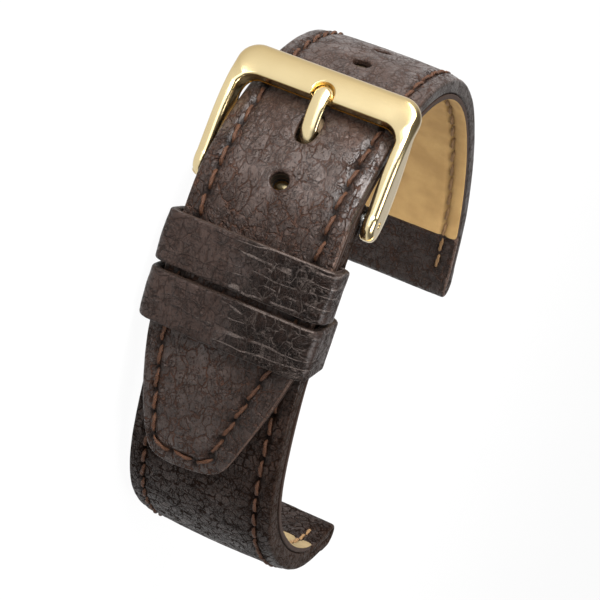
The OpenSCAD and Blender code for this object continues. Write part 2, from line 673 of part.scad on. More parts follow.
// Side outline of an arm: two smooth curves from the front bar down to the round end at the spring bar
arm_steps = 8;
arm_sweep = 105;
function arm_drop(k) = (1 - cos(arm_sweep * k)) / (1 - cos(arm_sweep));
arm_top = [for (i = [0:arm_steps]) let (k = i / arm_steps)
    [bar_inner_x * (1 - k), ramp(arm_drop(k), bar_top, bar_y - arm_end_r)]];
arm_low = [for (i = [arm_steps:-1:0]) let (k = i / arm_steps)
    [bar_inner_x * (1 - k), ramp(sin(90 * k), bar_top + front_bar_t, bar_y + arm_end_r)]];
arm_line = concat([[bar_inner_x - cut, bar_top]], arm_top, arm_low,
    [[bar_inner_x - cut, bar_top + front_bar_t]]);
module buckle_frame() {
    color([0.86, 0.72, 0.45])
        difference() {
            union() {
                // Front bar
                translate([-frame_reach, bar_top, -arm_out + frame_corner_r])
                    cube([front_bar_w, front_bar_t, 2 * (arm_out - frame_corner_r)]);
                translate([-frame_reach + frame_corner_r, bar_top, -arm_out])
                    cube([front_bar_w - frame_corner_r, front_bar_t, 2 * arm_out]);
                for (z = [-1, 1])
                    translate([-frame_reach + frame_corner_r, bar_top, z * (arm_out - frame_corner_r)])
                        rotate([-90, 0, 0]) cylinder(r = frame_corner_r, h = front_bar_t);
                // Arms
                for (side = [0, 1])
                    mirror([0, 0, side]) {
                        translate([0, 0, arm_in]) linear_extrude(height = arm_t) polygon(arm_line);
                        translate([0, bar_y, arm_in]) cylinder(r = arm_end_r, h = arm_t);
                        // Rounded inner corner of the opening
                        difference() {
                            translate([bar_inner_x - bite, bar_top, arm_in - window_corner_r])
                                cube([window_corner_r + bite, front_bar_t, window_corner_r + bite]);
                            translate([bar_inner_x + window_corner_r, bar_top, arm_in - window_corner_r])
                                rotate([-90, 0, 0])
                                    cylinder(r = window_corner_r, h = 3 * front_bar_t, center = true);
                        }
                    }
            }
            translate([0, bar_y, 0]) cylinder(r = pin_r + pin_clear, h = far, center = true);
            // Rest for the tongue
            translate([bar_inner_x - notch_len, bar_top - cut, -notch_w / 2])
                cube([notch_len + cut, notch_d + cut, notch_w]);
        }
}
module buckle_tongue() {
    color([0.88, 0.75, 0.48])
        difference() {
            union() {
                translate([0, bar_y, 0]) cylinder(r = loop_r, h = tongue_loop_w, center = true);
                linear_extrude(height = tongue_w, center = true)
                    polygon(line_band(tongue_line, tongue_t / 2, tongue_t / 2));
            }
            translate([0, bar_y, 0]) cylinder(r = bar_bore_r, h = far, center = true);
        }
}
module bar_tube() {
    color([0.7, 0.7, 0.7])
        translate([0, bar_y, 0])
            difference() {
                cylinder(r = tube_r, h = 2 * tube_end, center = true);
                cylinder(r = tube_bore_r, h = 2 * (tube_end - tube_mouth_len), center = true);
                cylinder(r = tube_mouth_r, h = 2 * tube_end + cut, center = true);
            }
}
// A wire coil swept round the bar's axis
coil_r = tube_bore_r - coil_wire_d / 2 - coil_room;
coil_half = head_in - coil_wire_d / 2 - coil_room;
coil_steps = 8 * coil_turns;
function coil_pt(i) = let (a = 360 * i / 8)
    [coil_r * cos(a), coil_r * sin(a), -coil_half + 2 * coil_half * i / coil_steps];
function ring_at(i) = let (a = 360 * i / 8, p = coil_pt(i), out = [cos(a), sin(a), 0])
    [for (k = [0:5]) p + coil_wire_d / 2 * (out * cos(60 * k) + [0, 0, 1] * sin(60 * k))];
module bar_spring() {
    points = [for (i = [0:coil_steps]) each ring_at(i)];
    sides = [for (i = [0:coil_steps - 1]) for (k = [0:5]) let (a = 6 * i + k, b = 6 * i + (k + 1) % 6)
        each [[a, b, b + 6], [a, b + 6, a + 6]]];
    color([0.6, 0.6, 0.62])
        translate([0, bar_y, 0])
            polyhedron(points, concat(sides, [[5, 4, 3, 2, 1, 0], [for (k = [0:5]) 6 * coil_steps + k]]));
}
module bar_pin() {
    translate([0, bar_y, 0]) {
        translate([0, 0, head_in]) cylinder(r = pin_head_r, h = pin_head_len);
        translate([0, 0, head_out - bite]) cylinder(r = pin_r, h = pin_end - head_out + bite);
    }
}
module bar_pin_left() {
    color([0.72, 0.7, 0.66]) mirror([0, 0, 1]) bar_pin();
}
module bar_pin_right() {
    color([0.72, 0.7, 0.66]) bar_pin();
}

placed() long_upper();
placed() long_lug_fold();
placed() long_lining();
placed() long_filler();
placed() long_lug_reinforcement();
placed() long_top_thread();
placed() long_bobbin_thread();
placed() short_upper();
placed() short_lug_fold();
placed() short_lining();
placed() short_filler();
placed() short_lug_reinforcement();
placed() short_buckle_reinforcement();
placed() short_top_thread();
placed() short_bobbin_thread();
placed() fixed_keeper();
placed() fixed_keeper_lining();
placed() free_keeper();
placed() free_keeper_lining();
placed() buckle_frame();
placed() buckle_tongue();
placed() bar_tube();
placed() bar_spring();
placed() bar_pin_left();
placed() bar_pin_right();
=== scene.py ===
"""A padded brown leather watch strap, buckled into a loop and lying on one edge.

Distances in the functions are millimetres, and turn into metres where a piece is put in place.
s     distance along the outer face of the long piece from the buckle's spring bar, negative toward the tip
z     distance across the strap from its middle line
depth distance in from the outer face of the long piece, toward the wrist
"""
import math
from collections import namedtuple
import bmesh
import bpy
import numpy as np
from mathutils import Matrix, Vector, geometry, noise


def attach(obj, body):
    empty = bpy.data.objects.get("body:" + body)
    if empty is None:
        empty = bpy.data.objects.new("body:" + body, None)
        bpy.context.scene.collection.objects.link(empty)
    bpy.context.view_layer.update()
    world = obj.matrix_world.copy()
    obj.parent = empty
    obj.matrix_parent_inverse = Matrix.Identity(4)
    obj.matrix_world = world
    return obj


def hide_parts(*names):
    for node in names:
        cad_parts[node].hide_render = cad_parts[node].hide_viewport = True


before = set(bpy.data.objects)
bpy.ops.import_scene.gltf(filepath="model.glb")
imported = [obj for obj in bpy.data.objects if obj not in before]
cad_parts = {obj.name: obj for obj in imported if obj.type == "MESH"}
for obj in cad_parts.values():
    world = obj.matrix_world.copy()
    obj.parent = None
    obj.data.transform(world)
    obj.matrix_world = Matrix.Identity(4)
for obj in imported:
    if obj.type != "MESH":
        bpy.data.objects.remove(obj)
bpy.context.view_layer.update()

MM = 0.001
# From the curve's start, on the outer face over the spring bar, to the frame's origin
SHIFT = (-1.38525, -30.7425, 10.95)

# ---------------------------------------------------------------- sizes, as the solids have them
# The bends of each piece's outer face from the spring bar on, each a length and a turn in degrees
LONG_BENDS = ((12, -23.5), (14, -27), (20, -41), (29, -30), (6, 0))
SHORT_BENDS = ((5, 24.6), (32, 29.2), (15.5, 33), (16, 22), (11, 18.5), (5, 0))
# Half the width at the buckle, what each side gains toward the lug ends, and from where and over how far
HALF, WIDENS, WIDENS_FROM, WIDENS_OVER = 9.0, 1.0, 16.0, 34.0
SKIN, LINING, GLUE = 0.8, 0.7, 0.03
TAIL_THICK, LUG_THICK, BAR_THICK = 2.4, 3.4, 3.16
LUG_ROUND, BAR_ROUND = LUG_THICK / 2, BAR_THICK / 2
# Distances of each lug bore, and of the end of the leather that is turned over there
LONG_BORE, LONG_FOLD = 79.3, 69.8
SHORT_BORE, SHORT_FOLD = 82.8, 73.3
# Depth of the short piece's face and of the spring bar, and the length of leather turned over at the bar
SHORT_FACE = 2.7
BAR_DEPTH = SHORT_FACE + BAR_ROUND
BAR_FOLD = 15.0
# How far in from the edges the stitches, the boards and the filled part of the leather begin
ROW_IN, BOARD_IN, FILLED_IN = 2.0, 3.15, 2.9
PITCH, STITCH, THREAD = 3.0, 2.3, 0.5
HOLE = 1.05
HOLES_AT = (-1.0, 13.2, 20.3, 27.4, 34.5, 41.6)
KEEPER_WIDE, KEEPER_THICK, KEEPER_LINING, KEEPER_ROOM, KEEPER_BEND = 5.8, 0.8, 0.22, 0.25, 0.8
FIXED_AT, FREE_AT = -10.8, -17.4


# ---------------------------------------------------------------- the strap's side curve
def follow(bends, heading, distance):
    """x, y and heading at distances along a run of bends, each a length and a turn in degrees."""
    distance = np.asarray(distance, float)
    x, y, turned = (np.zeros_like(distance) for _ in range(3))
    px = py = walked = 0.0
    a = math.radians(heading)
    for length, degrees in bends:
        last = walked + length >= sum(b[0] for b in bends)
        here = (distance >= walked) & ((distance < walked + length) | last)
        u = distance[here] - walked
        b = math.radians(degrees)
        if degrees == 0:
            x[here], y[here], turned[here] = px + u * math.cos(a), py + u * math.sin(a), a
            px, py = px + length * math.cos(a), py + length * math.sin(a)
        else:
            r = length / b
            turned[here] = a + u / r
            x[here] = px + r * (np.sin(turned[here]) - math.sin(a))
            y[here] = py - r * (np.cos(turned[here]) - math.cos(a))
            px, py = px + r * (math.sin(a + b) - math.sin(a)), py - r * (math.cos(a + b) - math.cos(a))
            a += b
        walked += length
    return x, y, turned


def on_curve(s, depth):
    """x and y at s along the strap and a depth below the long piece's outer face."""
    s, depth = np.broadcast_arrays(np.asarray(s, float), np.asarray(depth, float))
    up = s >= 0
    ux, uy, ua = follow(LONG_BENDS, 180, np.where(up, s, 0))
    dx, dy, da = follow(SHORT_BENDS, 0, np.where(up, 0, -s))
    x = np.where(up, ux + depth * np.sin(ua), dx - depth * np.sin(da))
    y = np.where(up, uy - depth * np.cos(ua), dy + depth * np.cos(da))
    return x, y


def metres(x, y, z):
    """Places in the frame, in metres, from the curve's own x, y and z."""
    x, y, z = np.broadcast_arrays(x, y, z)
    return np.column_stack(((x + SHIFT[0]) * MM, (y + SHIFT[1]) * MM, (z + SHIFT[2]) * MM))


def half_width(y):
    """Half the strap's width where it lies y into the loop."""
    return HALF + WIDENS * np.clip((y - WIDENS_FROM) / WIDENS_OVER, 0, 1)


def long_thick(s):
    """Thickness of the long piece."""
    return TAIL_THICK + (LUG_THICK - TAIL_THICK) * np.clip(np.asarray(s, float) / LONG_FOLD, 0, 1)


def short_thick(s):
    """Thickness of the short piece."""
    return BAR_THICK + (LUG_THICK - BAR_THICK) * np.clip((-np.asarray(s, float) - 35) / 20, 0, 1)


def ease(t):
    """0 below 0, 1 above 1, and smooth between."""
    t = np.clip(t, 0, 1)
    return t * t * (3 - 2 * t)


# Each sheet of leather is drawn flat: p along the sheet, z across it, and e below its own face.
LUG_TURN = math.pi * LUG_ROUND
BAR_TURN = math.pi * BAR_ROUND


def round_lug(p, e, bore):
    """How far along and how deep leather lies that runs to a lug bore, round it and back on the inside."""
    angle = np.clip((p - bore) / LUG_ROUND, 0, math.pi)
    turn = (p > bore) & (p < bore + LUG_TURN)
    along = np.where(p <= bore, p, 2 * bore + LUG_TURN - p)
    along = np.where(turn, bore + (LUG_ROUND - e) * np.sin(angle), along)
    depth = np.where(p <= bore, e, LUG_THICK - e)
    return along, np.where(turn, LUG_ROUND - (LUG_ROUND - e) * np.cos(angle), depth)


def long_sheet(p, e):
    """The long piece's outer leather: along the outside, round the lug bore and back on the inside."""
    p, e = np.broadcast_arrays(np.asarray(p, float), np.asarray(e, float))
    return on_curve(*round_lug(p, e, LONG_BORE))


def long_inside(p, e):
    """The long piece's inner face, where its lining lies."""
    return on_curve(p, long_thick(p) - e)


def long_layer(p, e):
    """A layer inside the long piece, measured in from its outer face."""
    return on_curve(p, e)


def short_sheet(p, e):
    """The short piece's outer leather: from inside, round the spring bar, along, round the lug bore and back."""
    p, e = np.broadcast_arrays(np.asarray(p, float), np.asarray(e, float))
    along, depth = round_lug(p, e, SHORT_BORE)
    back = p < -BAR_TURN
    s = np.where(back, p + BAR_TURN, -along)
    x, y = on_curve(np.minimum(s, 0), SHORT_FACE + np.where(back, BAR_THICK - e, depth))
    bar = (p < 0) & ~back
    bar_angle = np.clip(-p / BAR_ROUND, 0, math.pi)
    x = np.where(bar, -(BAR_ROUND - e) * np.sin(bar_angle), x)
    y = np.where(bar, BAR_DEPTH - (BAR_ROUND - e) * np.cos(bar_angle), y)
    return x, y


def short_inside(p, e):
    """The short piece's inner face, where its lining lies."""
    return on_curve(-p, SHORT_FACE + short_thick(-p) - e)


def short_layer(p, e):
    """A layer inside the short piece, measured in from its outer face."""
    return on_curve(-p, SHORT_FACE + e)


# ---------------------------------------------------------------- drawing and filling flat shapes
def smooth_line(points, step):
    """A smooth line through the points, with a point about every step."""
    points = np.asarray(points, float)
    last = len(points) - 1
    out = []
    for i in range(last):
        a, b, c, d = points[max(i - 1, 0)], points[i], points[i + 1], points[min(i + 2, last)]
        count = max(1, int(round(np.linalg.norm(c - b) / step)))
        for t in np.arange(count) / count:
            out.append(0.5 * (2 * b + (c - a) * t + (2 * a - 5 * b + 4 * c - d) * t * t
                              + (3 * b - a - 3 * c + d) * t ** 3))
    return np.array(out + [points[-1]])


def walked_along(line):
    """Distance walked along a line up to each of its points."""
    return np.concatenate(([0], np.cumsum(np.linalg.norm(np.diff(line, axis=0), axis=1))))


def distance_to(points, line, closed=False):
    """Distance from each point to a line of straight runs."""
    best = np.full(len(points), 1e9)
    ends = list(zip(line[:-1], line[1:]))
    if closed:
        ends.append((line[-1], line[0]))
    for a, b in ends:
        run = b - a
        t = np.clip(((points - a) @ run) / max(run @ run, 1e-12), 0, 1)
        gap = points - a - t[:, None] * run
        best = np.minimum(best, gap[:, 0] ** 2 + gap[:, 1] ** 2)
    return np.sqrt(best)


def inside(points, loop):
    """Whether each point is inside a closed loop."""
    found = np.zeros(len(points), bool)
    x, y = points[:, 0], points[:, 1]
    for a, b in zip(loop, np.roll(loop, -1, axis=0)):
        if a[1] != b[1]:
            crosses = (a[1] > y) != (b[1] > y)
            found ^= crosses & (x < (b[0] - a[0]) * (y - a[1]) / (b[1] - a[1]) + a[0])
    return found


def away(loop, hole=False):
    """Unit directions from the leather outward at each point of its edge, or into a hole."""
    t = np.roll(loop, -1, axis=0) - np.roll(loop, 1, axis=0)
    t /= np.linalg.norm(t, axis=1)[:, None]
    area = np.sum(loop[:, 0] * np.roll(loop[:, 1], -1) - np.roll(loop[:, 0], -1) * loop[:, 1])
    out = np.column_stack((t[:, 1], -t[:, 0])) * (1 if area > 0 else -1)
    return -out if hole else out


def oval(middle, along, across, step=0.3, power=2.0):
    """A closed oval in the flat leather; a higher power makes it squarer."""
    count = max(24, int(2 * math.pi * max(along, across) / step))
    a = 2 * math.pi * np.arange(count) / count
    c, s = (np.sign(v) * np.abs(v) ** (2 / power) for v in (np.cos(a), np.sin(a)))
    return np.column_stack((middle + along * c, across * s))


def eased_corners(loop, passes=5):
    """The loop with its corners rounded off by about the spacing of its points."""
    for _ in range(passes):
        loop = 0.25 * np.roll(loop, 1, axis=0) + 0.5 * loop + 0.25 * np.roll(loop, -1, axis=0)
    return loop


def strip(sheet, start, end, step=0.4, inset=0.0, tip=None):
    """Outline of a sheet of leather from start to end, as wide as the strap is there.

    A tip is a line that closes the start."""
    p = np.linspace(start, end, max(2, int(abs(end - start) / step)))
    across = half_width(sheet(p, 0 * p)[1]) - inset
    ends = np.linspace(-1, 1, max(3, int(2 * across[-1 if tip else 0] / step)))[1:-1]
    closing = smooth_line(tip, step)[1:-1] if tip else np.column_stack((np.full(len(ends), p[0]), -ends * across[0]))
    return eased_corners(np.vstack((
        np.column_stack((p, -across)), np.column_stack((np.full(len(ends), p[-1]), ends * across[-1])),
        np.column_stack((p, across))[::-1], closing)), 4 if tip else 5)


def fill(loops, spacing):
    """Points and triangles over the flat shape inside the first loop and outside the rest.

    The loops' own points come first."""
    low, high = loops[0].min(axis=0), loops[0].max(axis=0)
    rows = []
    for i, height in enumerate(np.arange(low[1], high[1], spacing * 0.866)):
        along = np.arange(low[0] + (i % 2) * spacing / 2, high[0], spacing)
        rows.append(np.column_stack((along, np.full(len(along), height))))
    grid = np.vstack(rows)
    keep = inside(grid, loops[0])
    for loop in loops[1:]:
        near = np.abs(grid[:, 0] - loop[:, 0].mean()) < np.ptp(loop[:, 0])
        hit = np.zeros(len(grid), bool)
        hit[near] = inside(grid[near], loop)
        keep &= ~hit
    grid = grid[keep]
    for loop in loops:
        near = np.abs(grid[:, 0] - loop[:, 0].mean()) < np.ptp(loop[:, 0])
        gap = np.full(len(grid), 1e9)
        gap[near] = distance_to(grid[near], loop, True)
        grid = grid[gap > 0.45 * spacing]
    points = np.vstack(list(loops) + [grid])
    edges, start = [], 0
    for loop in loops:
        edges += [(start + i, start + (i + 1) % len(loop)) for i in range(len(loop))]
        start += len(loop)
    _, _, faces, origin, _, _ = geometry.delaunay_2d_cdt([Vector(p) for p in points], edges, [], 1, 1e-7)
    known = [o[0] if o else -1 for o in origin]
    faces = np.array([[known[i] for i in f] for f in faces if len(f) == 3 and min(known[i] for i in f) >= 0])
    middles = points[faces].mean(axis=1)
    keep = inside(middles, loops[0])
    for loop in loops[1:]:
        keep &= ~inside(middles, loop)
    return points, faces[keep]


# ---------------------------------------------------------------- meshes
def make_piece(name, places, faces, material, marks):
    """A mesh object; marks are named values kept at its points for the materials."""
    mesh = bpy.data.meshes.new(name)
    mesh.from_pydata(places.tolist(), [], faces)
    for label, values in marks.items():
        kind, field = ("FLOAT_VECTOR", "vector") if values.ndim == 2 else ("FLOAT", "value")
        kept = mesh.attributes.new(label, kind, "POINT")
        kept.data.foreach_set(field, np.ascontiguousarray(values, np.float32).ravel())
    work = bmesh.new()
    work.from_mesh(mesh)
    bmesh.ops.recalc_face_normals(work, faces=work.faces)
    work.to_mesh(mesh)
    work.free()
    mesh.polygons.foreach_set("use_smooth", [True] * len(mesh.polygons))
    mesh.materials.append(material)
    piece = bpy.data.objects.new(name, mesh)
    bpy.context.scene.collection.objects.link(piece)
    return piece


def tube_faces(rings, count, base=0, closed=False):
    """Faces between rings of count points each; a closed tube joins its last ring to its first."""
    faces = []
    for i in range(rings if closed else rings - 1):
        a, b = base + i * count, base + (i + 1) % rings * count
        faces += [(a + m, a + (m + 1) % count, b + (m + 1) % count, b + m) for m in range(count)]
    return faces


def weld(piece, gap):
    """Joins points closer than the gap and closes the open ends."""
    work = bmesh.new()
    work.from_mesh(piece.data)
    bmesh.ops.remove_doubles(work, verts=work.verts, dist=gap * MM)
    bmesh.ops.holes_fill(work, edges=[e for e in work.edges if e.is_boundary], sides=0)
    bmesh.ops.recalc_face_normals(work, faces=work.faces)
    work.to_mesh(piece.data)
    work.free()


def settle(piece, body, slot, *nodes):
    """Gives a piece its body and hides the solids that it stands for; its finish's slot is not used."""
    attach(piece, body)
    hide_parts(*nodes)


def leather_piece(name, sheet, outline, holes, face, back, material, round_by, hole_round=0.25, spacing=0.45,
                  needles=(), worked=None):
    """A closed piece of leather with soft edges, cut to an outline and laid on the strap.

    face and back give the depth of its two sides below the sheet's own face."""
    outs = [away(outline)] + [away(h, True) for h in holes]
    by = [round_by] + [hole_round] * len(holes)
    loops = [loop - out * r for loop, out, r in zip([outline] + holes, outs, by)]
    points, faces = fill(loops, spacing)
    top, under = face(points), back(points)
    plan, depth, wall = [points, points], [top, under], [np.zeros(len(points)), np.ones(len(points))]
    # The punched mark, near each hole and down its walls, and the sewn mark round each needle hole are where the
    # materials paint shade
    punched = np.zeros(len(points))
    for hole in holes:
        near = np.abs(points[:, 0] - hole[:, 0].mean()) < 4
        punched[near] = np.maximum(punched[near], np.exp(-distance_to(points[near], hole, True) / 0.22))
    dark = [punched, punched]
    pulled = pulls(points, needles, 1.0, 0.5)
    sewn = [pulled, pulled]
    used = [0 * pulled + 0.5 if worked is None else worked(points)] * 2
    n = len(points)
    quads, start, at = [], 0, 2 * n
    for loop, out, r in zip(loops, outs, by):
        count = len(loop)
        e0, e1 = top[start:start + count], under[start:start + count]
        tall = np.minimum(r, 0.46 * (e1 - e0))
        rings = []
        for a in np.radians((18, 36, 54, 72, 90)):
            rings.append((loop + out * r * math.sin(a), e0 + tall * (1 - math.cos(a)), a / (math.pi / 2)))
        for t in (0.33, 0.67):
            rings.append((loop + out * r, e0 + tall + (e1 - e0 - 2 * tall) * t, 1.0))
        for a in np.radians((0, 30, 60)):
            rings.append((loop + out * r * math.cos(a), e1 - tall * (1 - math.sin(a)), 1.0))
        index = [np.arange(start, start + count)]
        for ring, e, w in rings:
            plan.append(ring)
            depth.append(e)
            wall.append(np.full(count, w if loop is loops[0] else 0.0))
            dark.append(np.full(count, 0.0 if loop is loops[0] else 0.3 + 0.7 * w))
            sewn.append(np.zeros(count))
            used.append(used[0][start:start + count])
            index.append(np.arange(at, at + count))
            at += count
        index.append(np.arange(n + start, n + start + count))
        for a, b in zip(index[:-1], index[1:]):
            quads += np.column_stack((a, np.roll(a, -1), np.roll(b, -1), b)).tolist()
        start += count
    plan, depth, wall = np.vstack(plan), np.concatenate(depth), np.concatenate(wall)
    x, y = sheet(plan[:, 0], depth)
    faces = faces.tolist() + (faces[:, ::-1] + n).tolist() + quads
    marks = {"flat": np.column_stack((plan, depth)), "wall": wall, "punched": np.concatenate(dark),
             "sewn": np.concatenate(sewn), "worked": np.concatenate(used)}
    return make_piece(name, metres(x, y, plan[:, 1]), faces, material, marks)


def bumps(points, size, amount, seed=0.0):
    """Slow, soft unevenness of the leather's face."""
    return amount * np.array([noise.noise(Vector((p[0] / size, p[1] / size, seed))) for p in points])


def pulls(points, needles, deep, reach):
    """How far each needle hole pulls the leather down."""
    out = np.zeros(len(points))
    for at in needles:
        near = np.abs(points[:, 0] - at[0]) < 4 * reach
        gap = points[near] - at
        out[near] = np.maximum(out[near], deep * np.exp(-(gap ** 2).sum(axis=1) / reach ** 2))
    return out


# ---------------------------------------------------------------- stitching
def row_stitches(start, end, way, depth):
    """Middles and directions of the stitches in the two straight rows between two distances.

    p runs the same way as s or against it, and depth is the depth of the face."""
    n = int((end - start) / PITCH)
    found = []
    for i in range(n):
        s = start + (i + 0.5) * (end - start) / n
        half = float(half_width(on_curve(s, depth)[1]))
        found += [(way * s, side * (half - ROW_IN), 0.0, side) for side in (-1, 1)]
    return found


def line_stitches(line):
    """Stitches laid end to end down a line in the flat leather."""
    walked = walked_along(line)
    n = int(round(walked[-1] / TIP_PITCH))
    found = []
    for i in range(n):
        m = (i + 0.5) * walked[-1] / n
        a = np.array([np.interp(m - 0.5, walked, line[:, k]) for k in (0, 1)])
        b = np.array([np.interp(m + 0.5, walked, line[:, k]) for k in (0, 1)])
        middle = (a + b) / 2
        found.append((middle[0], middle[1], math.atan2(b[1] - a[1], b[0] - a[0]), 1))
    return found


def needle_points(stitches):
    """The two needle holes of each stitch."""
    found = []
    for p, z, a, _ in stitches:
        for reach in (-STITCH / 2 - 0.22, STITCH / 2 + 0.22):
            found.append((p + reach * math.cos(a), z + reach * math.sin(a)))
    return np.array(found)


def stitching(name, sheet, stitches, lie, dip, material, slant=7.0):
    """Two-ply twisted thread, one short arch for each stitch, going down into its needle holes.

    lie gives how deep the middle of each stitch lies, and dip how much deeper its ends do."""
    steps, sides = 15, 12
    t = np.linspace(-1, 1, steps)
    a = 2 * math.pi * np.arange(sides) / sides
    places, faces, flats = [], [], []
    for k, (p, z, turn, side) in enumerate(stitches):
        wander = noise.noise(Vector((p * 0.7, z, 3.1)))
        turn = turn + math.radians(side * slant + 5 * wander)
        half = STITCH / 2 + 0.12
        middle = lie(p) + dip * np.abs(t) ** 4 - 0.03 * (1 - t * t) * (1 + wander)
        bow = 0.04 * wander * (1 - t * t)
        thick = THREAD / 2 * 0.86 * (1 - 0.35 * np.abs(t) ** 4)
        lobes = 1 + 0.17 * np.cos(2 * (a[None, :] - 3.4 * t[:, None] - k)) - 0.06
        across = thick[:, None] * lobes * np.cos(a)[None, :] * 1.06
        down = thick[:, None] * lobes * np.sin(a)[None, :]
        run = (t * half)[:, None] + 0 * across
        side_way = across + bow[:, None]
        pp = p + run * math.cos(turn) - side_way * math.sin(turn)
        zz = z + run * math.sin(turn) + side_way * math.cos(turn)
        ee = middle[:, None] + down
        x, y = sheet(pp.ravel(), ee.ravel())
        base = len(places) * steps * sides
        places.append(metres(x, y, zz.ravel()))
        flats.append(np.column_stack((run.ravel() + 3.1 * k, (a[None, :] + 0 * run).ravel() * 0.3, ee.ravel())))
        faces += tube_faces(steps, sides, base)
        faces.append(tuple(base + j for j in range(sides))[::-1])
        faces.append(tuple(base + (steps - 1) * sides + j for j in range(sides)))
    return make_piece(name, np.vstack(places), faces, material, {"flat": np.vstack(flats)})


# ---------------------------------------------------------------- materials: small helpers
# An output in a node tree, which a node's input can be joined to
Wire = namedtuple("Wire", "tree socket")


def plug(tree, socket, value):
    """Joins a wire to an input, or sets the input's own value."""
    if isinstance(value, Wire):
        tree.links.new(value.socket, socket)
    else:
        socket.default_value = value


def link(tree, sockets, **values):
    """Plugs a value into each of the named inputs."""
    for name, value in values.items():
        plug(tree, sockets[name.replace("_", " ")], value)


def add(tree, kind, inputs=None, **settings):
    """Adds a node and gives a function that finds its outputs; an input is a number, a colour or a wire."""
    made = tree.nodes.new(kind)
    for name, value in settings.items():
        setattr(made, name, value)
    for name, value in (inputs or {}).items():
        plug(tree, made.inputs[name], value)
    return lambda output: Wire(tree, made.outputs[output])


def put(tree, kind, inputs=None, take=0, **settings):
    """Adds a node and gives one of its outputs."""
    return add(tree, kind, inputs, **settings)(take)


def use(tree, group, **inputs):
    """Adds a shared effect and gives a function that finds its outputs."""
    return add(tree, "ShaderNodeGroup", inputs, node_tree=group)


def maths(operation, first, *rest, clamp=False):
    """Joins numbers and wires with a Math node for each after the first."""
    tree = next(part.tree for part in (first, *rest) if isinstance(part, Wire))
    for part in rest:
        first = put(tree, "ShaderNodeMath", {0: first, 1: part}, operation=operation, use_clamp=clamp)
    return first


def times(*parts):
    """All the parts multiplied."""
    return maths("MULTIPLY", *parts)


def plus(*parts, clamp=False):
    """The sum of the parts, kept between 0 and 1 if clamp is set."""
    return maths("ADD", *parts, clamp=clamp)


def less(whole, part):
    """The whole less the part."""
    return maths("SUBTRACT", whole, part)


def over(whole, part):
    """The whole divided by the part."""
    return maths("DIVIDE", whole, part)


def most(*parts):
    """The greatest of the parts."""
    return maths("MAXIMUM", *parts)


def vector(operation, place, by):
    """A place changed by another, or by a number for SCALE."""
    second = 3 if operation == "SCALE" else 1
    return put(place.tree, "ShaderNodeVectorMath", {0: place, second: by}, operation=operation)


def spread(value, low, high, to_low=0.0, to_high=1.0, soft=True):
    """The value between low and high, spread between two others."""
    return put(value.tree, "ShaderNodeMapRange",
               {"Value": value, "From Min": low, "From Max": high, "To Min": to_low, "To Max": to_high},
               interpolation_type="SMOOTHSTEP" if soft else "LINEAR")


def mix(factor, a, b):
    """Colour a where the factor is 0, and b where it is 1."""
    return put(factor.tree, "ShaderNodeMix", {0: factor, 6: a, 7: b}, 2, data_type="RGBA", blend_type="MIX")


def painted(base, *coats):
    """A colour with coats over it, each a factor that says where it covers, and a colour."""
    for factor, coat in coats:
        base = mix(factor, base, coat)
    return base


def cloud(place, scale, detail=3.0, rough=0.5):
    """Soft noise from 0 to 1."""
    return put(place.tree, "ShaderNodeTexNoise",
               {"Vector": place, "Scale": scale, "Detail": detail, "Roughness": rough}, "Fac")


def colour(red, green, blue):
    """A colour as it is read off a screen, 0 to 255."""
    parts = [c / 255 for c in (red, green, blue)]
    return tuple([c / 12.92 if c <= 0.04045 else ((c + 0.055) / 1.055) ** 2.4 for c in parts] + [1.0])


def darker(shade, by):
    """A colour times a number."""
    return tuple(c * by for c in shade[:3]) + (1.0,)


def new_group(name, inputs, outputs):
    """An empty node group that takes a place and the given numbers, each with its starting value.

    Also gives a function that finds what it was given, and the sockets that its outputs go to."""
    group = bpy.data.node_groups.new(name, "ShaderNodeTree")
    group.interface.new_socket(name="Place", in_out="INPUT", socket_type="NodeSocketVector")
    for label, value in inputs.items():
        made = group.interface.new_socket(name=label, in_out="INPUT", socket_type="NodeSocketFloat")
        made.default_value = value
    for label in outputs:
        group.interface.new_socket(name=label, in_out="OUTPUT", socket_type="NodeSocketFloat")
    return group, add(group, "NodeGroupInput"), group.nodes.new("NodeGroupOutput").inputs


def new_material(name, **constants):
    """A material with one Principled shader; constants are set on its own sockets."""
    material = bpy.data.materials.new(name)
    material.use_nodes = True
    tree = material.node_tree
    shader = tree.nodes["Principled BSDF"]
    link(tree, shader.inputs, **constants)
    return material, tree, shader


def relief(height, distance, strength=1.0, over_bump=None):
    """A bump whose full height is distance millimetres."""
    inputs = {"Height": height, "Distance": distance * MM, "Strength": strength}
    if over_bump is not None:
        inputs["Normal"] = over_bump
    return put(height.tree, "ShaderNodeBump", inputs)


def mark(tree, name, take="Fac"):
    """A value that a mesh keeps at its points."""
    return put(tree, "ShaderNodeAttribute", take=take, attribute_name=name, attribute_type="GEOMETRY")


